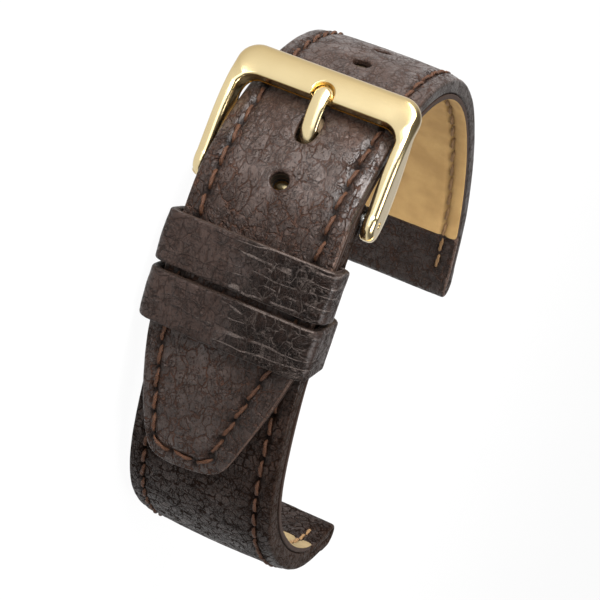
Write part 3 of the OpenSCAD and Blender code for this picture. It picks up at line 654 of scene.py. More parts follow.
# ---------------------------------------------------------------- shared effects
def make_grain():
    """Pebbled leather: domed cells parted by creases, finer cells and pits on them, and long ridges."""
    group, given, out = new_group(
        "Leather grain", {"Cell": 1.0, "Stretch": 1.0, "Warp": 0.5, "Folded": 0.0, "Worked": 0.5},
        ("Height", "Creases", "Cracks", "Cloud", "Pits", "Folds", "Hollows"))
    stretched = put(group, "ShaderNodeCombineXYZ", {"X": given("Stretch"), "Y": 1.0, "Z": 1.0})
    place = vector("SCALE", vector("MULTIPLY", given("Place"), stretched), over(1.0, given("Cell")))
    for size, much in ((0.8, 1.0), (2.6, 0.35)):
        wander = put(group, "ShaderNodeTexNoise", {"Vector": place, "Scale": size, "Detail": 2.0}, "Color")
        wander = vector("SUBTRACT", wander, (0.5, 0.5, 0.5))
        place = vector("ADD", place, vector("SCALE", wander, times(given("Warp"), much)))
    wide, fine = (put(group, "ShaderNodeTexVoronoi", {"Vector": place, "Scale": size, "Randomness": 1.0},
                      "Distance", feature="DISTANCE_TO_EDGE") for size in (0.8, 2.3))
    varied = spread(cloud(place, 0.45, 2.0), 0.38, 0.62, 0.1, 1.0)
    uneven = spread(cloud(place, 0.7), 0.36, 0.6, 0.3, 1.0)
    pits = spread(cloud(place, 4.2, 3.0, 0.7), 0.38, 0.45, 1.0, 0.0)
    # Long low ridges across the strap, where the leather has been bent
    ridge = put(group, "ShaderNodeTexWave",
                {"Vector": vector("MULTIPLY", given("Place"), (1.0, 0.35, 0.0)), "Scale": 0.24, "Distortion": 5.5,
                 "Detail": 2.0, "Detail Scale": 1.7, "Detail Roughness": 0.6},
                "Fac", wave_type="BANDS", bands_direction="X")
    fold = times(spread(ridge, 0.9, 0.995), spread(cloud(place, 0.45), 0.42, 0.56), given("Folded"))
    height = plus(times(spread(wide, 0.0, 0.1), uneven, 0.36), times(spread(wide, 0.0, 0.4), 0.18),
                  times(spread(fine, 0.0, 0.16), varied, 0.42), times(cloud(place, 2.2, 5.0, 0.7), 0.3))
    height = times(height, spread(given("Worked"), 0.0, 1.0, 0.35, 1.4, soft=False))
    height = plus(less(height, times(pits, 0.1)), times(fold, 0.35))
    creases = most(times(spread(wide, 0.0, 0.1, 1.0, 0.0), uneven), times(spread(fine, 0.0, 0.08, 0.8, 0.0), varied))
    cracks = most(spread(wide, 0.0, 0.05, 1.0, 0.0), times(spread(fine, 0.0, 0.06, 1.0, 0.0), varied))
    cracks = times(cracks, spread(cloud(place, 1.1, 2.0), 0.45, 0.57), spread(given("Worked"), 0.15, 0.8, 0.2, 1.0))
    hollows = most(times(spread(wide, 0.02, 0.11, 1.0, 0.0), uneven), times(spread(fine, 0.02, 0.11, 0.9, 0.0), varied),
                   spread(cloud(place, 2.4, 5.0, 0.7), 0.35, 0.47, 0.8, 0.0))
    link(group, out, Height=height, Creases=creases, Cracks=cracks, Cloud=cloud(given("Place"), 0.22), Pits=pits,
         Folds=fold, Hollows=hollows)
    return group


def make_rub():
    """Where handling has rubbed a finish: a mask that breaks up a given mark with noise."""
    group, given, out = new_group("Rubbed finish", {"Mark": 0.0, "Size": 1.0, "Broken": 0.4}, ("Mask", "Fibres"))
    broken = times(less(cloud(given("Place"), given("Size"), 5.0, 0.65), 0.5), given("Broken"))
    stretched = vector("MULTIPLY", given("Place"), (0.7, 2.0, 9.0))
    link(group, out, Mask=spread(plus(given("Mark"), broken), 0.35, 0.8), Fibres=cloud(stretched, 2.4, 4.0, 0.7))
    return group


def make_dust():
    """Fine specks and faint smudges that vary a surface's gloss."""
    group, given, out = new_group("Smudges", {"Size": 1.0, "Amount": 0.1}, ("Gloss", "Specks"))
    slow = cloud(given("Place"), over(0.35, given("Size")), 4.0, 0.6)
    quick = cloud(given("Place"), over(6.0, given("Size")), 3.0, 0.6)
    both = plus(times(slow, 0.7), times(quick, 0.3))
    link(group, out, Gloss=times(less(both, 0.5), given("Amount")), Specks=spread(quick, 0.66, 0.74))
    return group


GRAIN = make_grain()
RUB = make_rub()
DUST = make_dust()


# ---------------------------------------------------------------- materials of this strap
def make_leather(name, top, crease, edge, scuff_and_highlight, cell, deep, rough, specular, shine, folded, darkened, paled):
    """Dyed, pebbled outer leather: glossy on its cells, dull in its creases, with painted cut edges.

    Where the leather has been worked its cells darken, as wear and as painted shade, and its creases pale, as far as
    darkened and paled say."""
    material, tree, shader = new_material(name, Coat_Roughness=0.38, Coat_IOR=1.55, Specular_IOR_Level=specular)
    flat = mark(tree, "flat", "Vector")
    wall, punched, sewn, worked = (mark(tree, kept) for kept in ("wall", "punched", "sewn", "worked"))
    grain = use(tree, GRAIN, Place=flat, Cell=cell, Stretch=0.7, Warp=1.0, Folded=folded, Worked=worked)
    rub = use(tree, RUB, Place=flat, Mark=wall, Size=1.1, Broken=0.5)
    dust = use(tree, DUST, Place=flat, Size=1.0, Amount=0.2)
    # Wear and painted shade: where the worked mark is high the cells darken, with darker blotches among them, on the
    # keepers' +z side and on the long piece before the keepers, round its tip and beside its rows
    wear_and_painted_shade = times(worked, darkened)
    blotch = times(spread(cloud(flat, 0.6, 3.0, 0.6), 0.44, 0.58), wear_and_painted_shade)
    furrow = mix(times(worked, paled), crease, scuff_and_highlight)
    # Painted shade: the colour darkens in the grain's hollows, pits and cracks, and on the short piece and the keepers
    # the crease colour is darker than the cells
    body = painted(top, (spread(grain("Cloud"), 0.3, 0.7), darker(top, 0.7)),
                   (times(grain("Hollows"), 0.4), darker(top, 0.4)), (wear_and_painted_shade, darker(top, 0.3)),
                   (blotch, darker(top, 0.12)),
                   (times(grain("Creases"), spread(worked, 0.0, 0.6, max(0.75 - darkened, 0.1), 1.0)), furrow),
                   (times(grain("Pits"), 0.7), darker(top, 0.25)),
                   (times(grain("Cracks"), 0.75 * (1.0 - paled)), darker(top, 0.1)),
                   # Painted highlight: the long ridges take the pale colour that also marks scuffed creases
                   (times(grain("Folds"), spread(worked, 0.05, 0.3, 0.0, 0.8)), scuff_and_highlight))
    # Where worked, the painted cut edge and the rim beside it turn pale: a painted highlight along the rim
    painted_rim_highlight = spread(worked, 0.35, 0.75)
    edged = painted(edge, (painted_rim_highlight, scuff_and_highlight), (times(rub("Fibres"), 0.8), darker(edge, 0.5)))
    finish = painted(body, (rub("Mask"), edged), (times(spread(wall, 0.3, 0.6), painted_rim_highlight, 0.9), scuff_and_highlight),
                     # Painted shade in and round the punched holes and in the needle dips
                     (times(punched, 0.9), darker(top, 0.6)), (times(sewn, 0.9), darker(top, 0.1)))
    pierced = most(punched, sewn)
    roughness = plus(spread(most(grain("Hollows"), pierced), 0.0, 1.0, rough, 0.75), dust("Gloss"), clamp=True)
    wax = spread(most(grain("Hollows"), grain("Pits"), times(rub("Mask"), 0.55)), 0.1, 0.8, 1.0, 0.0)
    wax = spread(wax, 0.0, 1.0, spread(worked, 0.12, 0.45, 0.4 * shine, 0.0), shine, soft=False)
    wax = times(wax, spread(grain("Cloud"), 0.35, 0.65, 1.0, 0.65), spread(worked, 0.0, 0.28, 1.0 - 0.55 * shine, 1.0),
                spread(worked, 0.32, 0.78, 1.0, max(1.0 - 1.1 * darkened, 0.0), soft=False),
                less(1.0, most(blotch, pierced)))
    bump = relief(times(rub("Fibres"), rub("Mask")), 0.08, 0.7, relief(grain("Height"), deep))
    link(tree, shader.inputs, Base_Color=finish, Roughness=roughness, Coat_Weight=wax, Normal=bump)
    return material


def make_lining(name, face, shade, edge):
    """Soft tan leather with a fine nap."""
    material, tree, shader = new_material(name, Sheen_Weight=0.02, Sheen_Roughness=0.5, Specular_IOR_Level=0.12)
    flat = mark(tree, "flat", "Vector")
    wall, punched, sewn = (mark(tree, kept) for kept in ("wall", "punched", "sewn"))
    grain = use(tree, GRAIN, Place=flat, Cell=0.42, Stretch=0.8, Warp=0.8, Worked=0.6)
    rub = use(tree, RUB, Place=flat, Mark=wall, Size=2.0, Broken=0.3)
    # Painted shade: the nap darkens a little in its pits, and more in the punched holes and needle dips
    finish = painted(face, (spread(grain("Cloud"), 0.3, 0.7), shade), (times(grain("Pits"), 0.25), shade),
                     (times(rub("Fibres"), 0.2), shade), (rub("Mask"), edge),
                     (most(punched, times(sewn, 0.35)), darker(edge, 0.5)))
    link(tree, shader.inputs, Base_Color=finish, Roughness=spread(grain("Height"), 0.2, 1.0, 0.9, 0.72),
         Normal=relief(grain("Height"), 0.03, 0.6))
    return material


def make_thread(name, light, dark):
    """Waxed polyester thread with fine fibres along the twist."""
    material, tree, shader = new_material(name, Specular_IOR_Level=0.2)
    flat = mark(tree, "flat", "Vector")
    fibres = put(tree, "ShaderNodeTexWave",
                 {"Vector": flat, "Scale": 2.6, "Distortion": 2.0, "Detail": 2.0, "Detail Scale": 3.0},
                 "Fac", wave_type="BANDS", bands_direction="DIAGONAL")
    dust = use(tree, DUST, Place=flat, Size=0.4, Amount=0.2)
    body = mix(spread(cloud(flat, 0.45, 2.0), 0.3, 0.7), light, darker(light, 0.72))
    body = mix(times(fibres, 0.55), dark, body)
    link(tree, shader.inputs, Base_Color=body, Roughness=plus(0.52, dust("Gloss"), clamp=True),
         Normal=relief(fibres, 0.04, 0.8))
    return material


def make_metal(name, bright, deep, rough, fine=0.004):
    """Polished plated metal with faint smudges and hairlines, and painted shade for darker reflections where a piece
    marks it.
    """
    material, tree, shader = new_material(name, Metallic=1.0)
    place = vector("SCALE", put(tree, "ShaderNodeTexCoord", take="Object"), 1000.0)
    dust = use(tree, DUST, Place=place, Size=2.0, Amount=0.06)
    hair = cloud(vector("MULTIPLY", place, (9.0, 7.0, 0.35)), 1.3, 5.0, 0.7)
    # The darkest gold, painted where a piece marks painted shade for its reflections
    painted_shade_colour = tuple(c * d for c, d in zip(deep[:3], (0.72, 0.66, 0.55))) + (1.0,)
    body = painted(bright, (spread(cloud(place, 0.2, 2.0), 0.2, 0.8), deep),
                   (times(dust("Specks"), 0.25), darker(deep, 0.6)), (mark(tree, "painted_reflection_shade"), painted_shade_colour))
    roughness = plus(spread(hair, 0.3, 0.7, rough * 0.95, rough * 1.06), dust("Gloss"), clamp=True)
    link(tree, shader.inputs, Base_Color=body, Roughness=roughness, Normal=relief(hair, fine, 0.5))
    return material


def make_board(name, face, shade):
    """Pressed filler board."""
    material, tree, shader = new_material(name, Specular_IOR_Level=0.2)
    rub = use(tree, RUB, Place=mark(tree, "flat", "Vector"), Mark=0.3, Size=1.5, Broken=0.8)
    # Painted shade on the board's walls inside the punched holes
    body = painted(face, (rub("Fibres"), shade), (mark(tree, "punched"), darker(shade, 0.15)))
    link(tree, shader.inputs, Base_Color=body, Roughness=spread(rub("Fibres"), 0.2, 0.8, 0.95, 0.8),
         Normal=relief(rub("Fibres"), 0.05, 0.7))
    return material


# On the short piece and the keepers the crease colour is darker than the cells: painted shade in the creases
LONG_LEATHER = make_leather(
    "long piece leather", top=colour(55, 36, 26), crease=colour(54, 32, 21), edge=colour(42, 30, 23),
    scuff_and_highlight=colour(84, 64, 54),
    cell=0.95, deep=0.62, rough=0.36, specular=0.15, shine=1.0, folded=0.2, darkened=0.48, paled=0.2)
SHORT_LEATHER = make_leather(
    "short piece leather", top=colour(46, 29, 20), crease=colour(28, 18, 13), edge=colour(42, 30, 24),
    scuff_and_highlight=colour(56, 42, 34),
    cell=0.85, deep=0.85, rough=0.4, specular=0.02, shine=0.5, folded=0.2, darkened=0.4, paled=0.1)
KEEPER_LEATHER = make_leather(
    "keeper leather", top=colour(48, 34, 28), crease=colour(14, 9, 7), edge=colour(52, 42, 37),
    scuff_and_highlight=colour(90, 80, 75),
    cell=0.85, deep=0.6, rough=0.36, specular=0.06, shine=0.58, folded=0.9, darkened=0.9, paled=0.5)
TAN_LINING = make_lining("tan lining", colour(194, 159, 106), colour(170, 136, 88), colour(40, 27, 20))
RUST_THREAD = make_thread("rust thread", colour(114, 73, 47), colour(34, 20, 13))
TAN_THREAD = make_thread("tan thread", colour(170, 136, 94), colour(110, 82, 54))
GOLD = make_metal("gold plate", colour(226, 207, 163), colour(217, 197, 151), 0.21, 0.001)
STEEL = make_metal("bar steel", colour(190, 190, 188), colour(160, 160, 160), 0.28)
KEEPER_LINING_LEATHER = make_lining("keeper lining", colour(58, 44, 36), colour(46, 34, 28), colour(44, 33, 27))
# The short piece's lining is a darker, more olive copy of the tan lining: painted shade
SHADED_SHORT_LINING = make_lining("short piece lining", colour(134, 116, 84), colour(116, 100, 70), colour(40, 27, 20))
BOARD = make_board("filler board", colour(150, 128, 100), colour(112, 94, 72))


# ---------------------------------------------------------------- the long piece
# Where the tip begins, and from where the distance to the cut edge is measured to the tip's own line
TIP_START, TIP_FROM = -17.5, -12.0
TIP_PITCH = 2.95
TIP_OUTLINE = [
    (TIP_START, 9.0), (-19.4, 8.95), (-21.5, 8.45), (-24.3, 7.7), (-27.2, 6.8), (-31.2, 5.35), (-34.2, 4.25),
    (-35.5, 3.6), (-36.35, 2.8), (-36.95, 1.7), (-37.3, 0.0), (-37.5, -2.0), (-37.45, -3.8), (-37.15, -4.9),
    (-36.4, -5.8), (-34.9, -6.45), (-33.0, -6.95), (-30.5, -7.55), (-27.0, -8.2), (-23.0, -8.75), (-19.5, -9.0),
    (TIP_START, -9.0)]
TIP_ROW = smooth_line([
    (-20.0, -6.95), (-25.4, -6.5), (-30.5, -5.85), (-33.6, -5.4), (-34.9, -4.9), (-35.35, -3.8), (-35.4, -1.5),
    (-35.4, 0.4), (-35.0, 1.35), (-33.9, 1.9), (-28.2, 3.65), (-22.1, 5.55), (-20.0, 6.2)], 0.4)
RIGHT_LEAD = smooth_line([(-20.0, 6.2), (-17.0, 6.85), (-14.0, 7.0)], 0.4)
# How far from the bores and the bar the stitches begin
LUG_ROWS, BAR_ROWS = 3.2, 2.7


def level(value):
    """One depth everywhere."""
    return lambda points: np.full(len(points), value)


def sewn_rows(points, s, half, first, last):
    """Depth of the sewn valley beside the two edges between two distances."""
    gap = np.abs(np.abs(points[:, 1]) - (half - ROW_IN))
    valley = 0.32 * np.exp(-(gap / 0.46) ** 2)
    return valley * ease((s - first) / 0.8) * ease((last - s) / 0.8)


def folded_back(p, bore):
    """s as a length for places on a sheet that is turned back at a lug bore."""
    return np.where(p <= bore + LUG_TURN / 2, p, 2 * bore + LUG_TURN - p)


def bore_face(radius, off):
    """Depth of the leather's inner side beside a bore, off from the bore's middle."""
    return radius - np.sqrt(np.clip((radius - SKIN) ** 2 - off ** 2, 0, None)) - 0.01


def rim_drop(rim, s, bore):
    """How far the face drops near the cut edge; it runs out before the lug bore."""
    return 0.28 * ease((1.35 - rim) / 0.6) * ease((bore - 1.6 - s) / 1.2)


def padding(z, s, bore):
    """How full the filler makes the strap, 1 in the middle of its width; it runs out before the lug bore."""
    return np.clip(1 - (z / 6.3) ** 2, 0, 1) * ease((bore - 3 - s) / 4)


def long_places(points):
    """For places on the long sheet: s, half the width, distance from the cut edge, and whether it is the tip."""
    p = points[:, 0]
    half = half_width(long_sheet(p, 0 * p)[1])
    rim = half - np.abs(points[:, 1])
    tip = p < TIP_FROM
    rim[tip] = distance_to(points[tip], TIP_EDGE)
    return folded_back(p, LONG_BORE), half, rim, tip


def long_face(points):
    """Depth of the long leather's face: rims, sewn valleys, padding, punched holes and needle pulls."""
    p, z = points[:, 0], points[:, 1]
    s, half, rim, tip = long_places(points)
    deep = rim_drop(rim, s, LONG_BORE) + sewn_rows(points, s, half, -17.0, LONG_BORE - 2.9)
    deep[tip] += 0.32 * np.exp(-(distance_to(points[tip], TIP_ROW) / 0.46) ** 2)
    deep -= 0.13 * padding(z, s, LONG_BORE) * ease((rim - 2.2) / 1.5) * (p < LONG_BORE)
    for at in HOLES_AT:
        gap = np.hypot(p - at, z)
        deep += 0.14 * np.exp(-np.clip(gap - HOLE, 0, None) / 0.35) * (gap < 4)
    near = np.abs(p - 6.75) < 5
    deep[near] += 0.14 * np.exp(-distance_to(points[near], PASSAGE, True) / 0.4)
    deep += pulls(points, LONG_NEEDLES, 0.32, 0.34)
    return deep + bumps(points, 1.6, 0.035) + bumps(points, 5.0, 0.04, 7.0)


def long_back(points):
    """The leather is thin over the filler, and its margins reach down to the lining."""
    p = points[:, 0]
    s, _, rim, _ = long_places(points)
    bore = bore_face(LUG_ROUND, LONG_BORE - s)
    thick = np.where(s < LONG_FOLD, long_thick(s) - LINING, bore)
    thin = np.where(s < LONG_BORE - 1.9, SKIN, bore)
    turning = (p > LONG_BORE) & (p < LONG_BORE + LUG_TURN)
    return np.where(turning, SKIN, thick + (thin - thick) * ease((rim - FILLED_IN) / 0.3))


def long_worked_and_shaded(points):
    """How far use has worked the long piece: most where it bends before the keepers, least by the tongue; where worked,
    its colour darkens as wear and as painted shade.
    """
    p, z = points[:, 0], points[:, 1]
    near_keepers = ease((-1.0 - p) / 6.0) * ease((p + 21.0) / 3.0)
    side_of_tip = ease((z - 1.0) / 4.0) * ease((-18.0 - p) / 3.0)
    tip, folded_end = ease((-18.0 - p) / 4.0), ease((p - LONG_BORE - 2.0) / 3.0)
    beside_rows = np.exp(-(half_width(long_sheet(p, 0 * p)[1]) - 1.9 - np.abs(z)) ** 2) * (1 - tip)
    return np.clip(0.3 + 0.45 * near_keepers + 0.45 * side_of_tip + 0.25 * tip + 0.7 * folded_end + 0.5 * beside_rows
                   - 0.2 * ease((p - 3.0) / 4.0) + bumps(points, 3.0, 0.25, 11.0), 0, 1)


LONG_OUTLINE = strip(long_sheet, TIP_START, LONG_BORE + LUG_TURN + LONG_BORE - LONG_FOLD, tip=TIP_OUTLINE)
TIP_EDGE = smooth_line([(-8.0, 9.0)] + TIP_OUTLINE + [(-8.0, -9.0)], 0.35)
LONG_STITCHES = row_stitches(-20.0, LONG_BORE - LUG_ROWS, 1, 0.0)
for i, (p, z, a, side) in enumerate(LONG_STITCHES):
    if p < -14 and z > 0:
        LONG_STITCHES[i] = (p, float(np.interp(p, RIGHT_LEAD[:, 0], RIGHT_LEAD[:, 1])), a, side)
LONG_STITCHES += line_stitches(TIP_ROW)
LONG_NEEDLES = needle_points(LONG_STITCHES)
# The hole that the tongue goes through is worn long
PASSAGE = oval(6.42, 2.3, 1.2, power=2.7)
PUNCHED = [oval(at, HOLE, HOLE, 0.22) for at in HOLES_AT]

settle(leather_piece("long_outer_leather", long_sheet, LONG_OUTLINE, PUNCHED + [PASSAGE], long_face, long_back,
                     LONG_LEATHER, 0.42, needles=LONG_NEEDLES, worked=long_worked_and_shaded),
       "strap", "brown_leather", "long_upper", "long_lug_fold")


def lining_valleys(points, half, first, last, needles):
    """Depth of a lining's sewn valleys and needle pulls."""
    valley = sewn_rows(points, points[:, 0], half, first, last)
    return valley + pulls(points, needles, 0.2, 0.35) + bumps(points, 1.1, 0.02, 5.0)


def long_lining_face(points):
    """Depth of the long lining's face, with the valley round the tip."""
    half = half_width(long_inside(points[:, 0], 0 * points[:, 0])[1])
    deep = lining_valleys(points, half, -17.0, LONG_FOLD + 3, LONG_NEEDLES)
    tip = points[:, 0] < TIP_FROM
    deep[tip] += 0.26 * np.exp(-(distance_to(points[tip], TIP_ROW) / 0.5) ** 2)
    return deep


settle(leather_piece("long_lining_leather", long_inside,
                     strip(long_inside, TIP_START, LONG_FOLD - 0.1, tip=TIP_OUTLINE),
                     PUNCHED + [oval(4.0, 2.0, 1.5, power=2.6)], long_lining_face, level(LINING - GLUE), TAN_LINING,
                     0.12, 0.1, needles=LONG_NEEDLES),
       "strap", "tan_lining", "long_lining")


# ---------------------------------------------------------------- the short piece
SHORT_START = -BAR_TURN - BAR_FOLD
SHORT_END = SHORT_BORE + LUG_TURN + SHORT_BORE - SHORT_FOLD
SHORT_STITCHES = row_stitches(-(SHORT_BORE - LUG_ROWS), -BAR_ROWS, -1, SHORT_FACE)
SHORT_NEEDLES = needle_points(SHORT_STITCHES)
# The slot that lets the tongue's loop reach the spring bar
SLOT_REACH, SLOT_HALF = 4.6, 1.9


def short_places(points):
    """For places on the short sheet: s as a length, half the width, and distance from the cut edge."""
    p = points[:, 0]
    half = half_width(short_sheet(p, 0 * p)[1])
    s = np.where(p < -BAR_TURN / 2, -p - BAR_TURN, folded_back(p, SHORT_BORE))
    return s, half, half - np.abs(points[:, 1])


def short_face(points):
    """Depth of the short leather's face: rims, sewn valleys, padding and needle pulls."""
    p, z = points[:, 0], points[:, 1]
    s, half, rim = short_places(points)
    deep = rim_drop(rim, s, SHORT_BORE) * ease((s - 1.6) / 1.2) + sewn_rows(points, s, half, 1.6, SHORT_BORE - 2.6)
    deep -= 0.16 * padding(z, s, SHORT_BORE) * ease((s - 38) / 4) * ((p > 0) & (p < SHORT_BORE))
    deep += pulls(points, SHORT_NEEDLES, 0.24, 0.30)
    return deep + (bumps(points, 1.6, 0.035, 11.0) + bumps(points, 5.0, 0.05, 17.0)) * np.where(s > 38, 1.0, 0.5)


def short_back(points):
    """Thin over the filler, the bar and the bore, and full in the margins, except under the fixed keeper."""
    p = points[:, 0]
    s, _, rim = short_places(points)
    lug_bore, bar_bore = bore_face(LUG_ROUND, SHORT_BORE - s), bore_face(BAR_ROUND, s)
    margin = np.where(s < BAR_FOLD, bar_bore, np.where(s < SHORT_FOLD, short_thick(-s) - LINING, lug_bore))
    margin = margin + (SKIN - margin) * ease((3.5 - np.abs(s + FIXED_AT)) / 0.3)
    middle = np.where(s < SLOT_REACH, bar_bore, np.where(s < SHORT_BORE - 1.9, SKIN, lug_bore))
    thick = margin + (middle - margin) * ease((rim - FILLED_IN) / 0.3)
    turning = ((p > SHORT_BORE) & (p < SHORT_BORE + LUG_TURN)) | ((p < 0) & (p > -BAR_TURN))
    return np.where(turning, SKIN, thick)


slot_p = np.linspace(-BAR_TURN - SLOT_REACH, SLOT_REACH, 46)
slot_z = np.linspace(-SLOT_HALF, SLOT_HALF, 13)[1:-1]
slot = eased_corners(np.vstack((
    np.column_stack((slot_p, 0 * slot_p - SLOT_HALF)), np.column_stack((0 * slot_z + SLOT_REACH, slot_z)),
    np.column_stack((slot_p, 0 * slot_p + SLOT_HALF))[::-1],
    np.column_stack((0 * slot_z - BAR_TURN - SLOT_REACH, -slot_z)))), 4)
settle(leather_piece("short_outer_leather", short_sheet, strip(short_sheet, SHORT_START, SHORT_END), [slot],
                     short_face, short_back, SHORT_LEATHER, 0.42, needles=SHORT_NEEDLES),
       "strap", "brown_leather", "short_upper", "short_lug_fold")


def short_lining_face(points):
    """Depth of the short lining's face."""
    half = half_width(short_inside(points[:, 0], 0 * points[:, 0])[1])
    return lining_valleys(points, half, BAR_FOLD - 3, SHORT_FOLD + 3, SHORT_NEEDLES)


settle(leather_piece("short_lining_leather", short_inside, strip(short_inside, BAR_FOLD + 0.1, SHORT_FOLD - 0.1), [],
                     short_lining_face, level(LINING - GLUE), SHADED_SHORT_LINING, 0.12, 0.1, needles=SHORT_NEEDLES),
       "strap", "tan_lining", "short_lining")


# ---------------------------------------------------------------- stiffening between the layers
def stiffener(name, sheet, outline, holes, inner, node):
    """A thin board between two layers of leather, with its face a little uneven."""
    settle(leather_piece(name, sheet, outline, holes, lambda q: SKIN + GLUE + 0.02 + np.abs(bumps(q, 0.9, 0.02, 23.0)),
                         inner, BOARD, 0.15, 0.1, 0.9), "strap", "filler_board", node)


PAD_TIP = [(TIP_START, 5.85), (-19.5, 5.75), (-27.0, 3.1), (-32.8, 1.1), (-33.9, 0.2), (-34.15, -1.4), (-33.9, -2.8),
           (-32.8, -3.55), (-27.0, -4.5), (-19.5, -5.75), (TIP_START, -5.85)]
stiffener("long_filler_board", long_layer, strip(long_layer, TIP_START, LONG_FOLD - 0.3, inset=BOARD_IN, tip=PAD_TIP),
          [oval(at, HOLE + 0.1, HOLE + 0.1, 0.3) for at in HOLES_AT] + [oval(5.0, 1.9, 1.55, power=2.6)],
          lambda q: long_thick(q[:, 0]) - LINING - GLUE, "long_filler")
stiffener("long_lug_stiffener", long_layer, strip(long_layer, LONG_FOLD + 0.1, LONG_BORE - 2.0, 0.5, BOARD_IN), [],
          level(LUG_THICK - SKIN - GLUE), "long_lug_reinforcement")
stiffener("short_filler_board", short_layer, strip(short_layer, 14.3, SHORT_FOLD - 0.3, 0.5, BOARD_IN), [],
          lambda q: short_thick(-q[:, 0]) - SKIN - GLUE, "short_filler")
stiffener("short_lug_stiffener", short_layer, strip(short_layer, SHORT_FOLD + 0.1, SHORT_BORE - 2.0, 0.5, BOARD_IN), [],
          level(LUG_THICK - SKIN - GLUE), "short_lug_reinforcement")
stiffener("buckle_end_stiffener", short_layer, strip(short_layer, 4.8, 7.3, 0.4, BOARD_IN), [],
          level(BAR_THICK - SKIN - GLUE), "short_buckle_reinforcement")


# ---------------------------------------------------------------- the threads
settle(stitching("long_top_stitches", long_sheet, LONG_STITCHES, lambda p: 0.10, 0.5, RUST_THREAD),
       "strap", "rust_thread", "long_top_thread")
settle(stitching("short_top_stitches", short_sheet, SHORT_STITCHES, lambda p: 0.10, 0.5, RUST_THREAD),
       "strap", "rust_thread", "short_top_thread")
settle(stitching("long_bobbin_stitches", long_inside, LONG_STITCHES, lambda p: 0.21 if p < 4 else 0.12, 0.35,
                 TAN_THREAD, slant=-4),
       "strap", "tan_thread", "long_bobbin_thread")
settle(stitching("short_bobbin_stitches", short_inside, SHORT_STITCHES, lambda p: 0.14, 0.35, TAN_THREAD, slant=-4),
       "strap", "tan_thread", "short_bobbin_thread")


# ---------------------------------------------------------------- the keepers
def keeper_path(stations, inner, r):
    """Places and outward directions round the strap, the distance walked at each, and the whole way round.

    The path starts in the middle of the inner strand, and runs up the left side and over, with bends of radius r."""
    half = HALF + KEEPER_ROOM
    straight_z, straight_d, turn = 2 * (half - r), inner + KEEPER_ROOM - 2 * r, math.pi / 2 * r
    total = 2 * straight_z + 2 * straight_d + 4 * turn
    u = np.arange(stations) / stations * total
    z, d, angle = (np.zeros(stations) for _ in range(3))
    walked = 0.0
    # Each strand has its length, its start and its outward angle, and ends in a bend to the next
    for length, z0, d0, degrees in (
            (straight_z / 2, 0, inner, 90), (straight_d, -half, inner - r, 180),
            (straight_z, -half + r, -KEEPER_ROOM, 270), (straight_d, half, -KEEPER_ROOM + r, 360),
            (straight_z / 2, half - r, inner, 450)):
        here = (u >= walked - 1e-9) & (u < walked + length + turn)
        v = u[here] - walked
        a = math.radians(degrees)
        turned = angle[here] = a + np.clip((v - length) / r, 0, None)
        straight = np.minimum(v, length)
        z[here] = z0 - math.sin(a) * straight + r * (np.cos(turned) - math.cos(a))
        d[here] = d0 + math.cos(a) * straight + r * (np.sin(turned) - math.sin(a))
        walked += length + turn
    return z, d, np.cos(angle), np.sin(angle), u, total


def keeper_section(low, high, e):
    """The band's section, edges rounded by e: place across, height, and how far it is round the edge."""
    wide = KEEPER_WIDE / 2
    corner = [(e - e * math.cos(a), high - e + e * math.sin(a), 1 - a / (math.pi / 2))
              for a in np.radians((0, 15, 40, 65))]
    down = [(0, high - e - (high - low - 1.5 * e) * t, 1.0) for t in (0.33, 0.67)]
    right = [(wide - i, h, edge) for i, h, edge in corner[::-1] + down] + [(wide - e / 2, low, 1.0)]
    top = [(w, high, 0.0) for w in np.linspace(-wide + e, wide - e, 26)]
    under = [(w, low, 1.0) for w in np.linspace(wide - e, -wide + e, 8)]
    return np.array(top + right + under + [(-w, h, edge) for w, h, edge in right[::-1]])


def keeper_band(name, at, inner, low, high, material, edge_round, seed, bulge=0.0):
    """A closed band round the strap; low and high are its inner and outer faces, out from the room it leaves."""
    stations, wide = 190, KEEPER_WIDE / 2
    *path, total = keeper_path(stations, inner, KEEPER_BEND)
    section = keeper_section(low, high, edge_round)
    k = len(section)
    w, h, wall = (np.tile(section[:, i], stations) for i in range(3))
    zz, dd, nzz, ndd, uu = (np.repeat(v, k) for v in path)
    around = uu / total * 2 * math.pi
    face = (h - low) / (high - low)
    wavy = np.array([noise.noise(Vector((1.3 * math.cos(a), 1.3 * math.sin(a), seed + 0.25 * b)))
                     for a, b in zip(around, w)])
    fine = np.array([noise.noise(Vector((a * 1.1, b * 0.8, seed + 9))) for a, b in zip(uu, w)])
    h = h + face * (0.05 * wavy + 0.035 * fine + bulge * (1 - (w / wide) ** 2) * (ndd < -0.2))
    w = w * (1 + 0.012 * wavy) + 0.05 * wavy
    bx, by = on_curve(at, 0.0)
    heading = follow(SHORT_BENDS, 0, np.array([-float(at)]))[2][0]
    deep = dd + ndd * h
    places = metres(bx + w * math.cos(heading) - deep * math.sin(heading),
                    by + w * math.sin(heading) + deep * math.cos(heading), zz + nzz * h)
    # Worked more toward the keeper's +z side, which deepens its creases there and, through the leather's worked
    # darkening, paints shade on that side; the bend facing +z is kept lighter
    keeper_wear_and_shade = np.clip(ease((zz + 3.0) / 9.5) * 1.15 + 0.3 * fine, 0.02, 1) * (nzz < 0.7) + 0.25 * (nzz >= 0.7)
    return make_piece(name, places, tube_faces(stations, k, closed=True), material,
                      {"flat": np.column_stack((w + seed, uu, h)), "wall": wall, "worked": keeper_wear_and_shade})


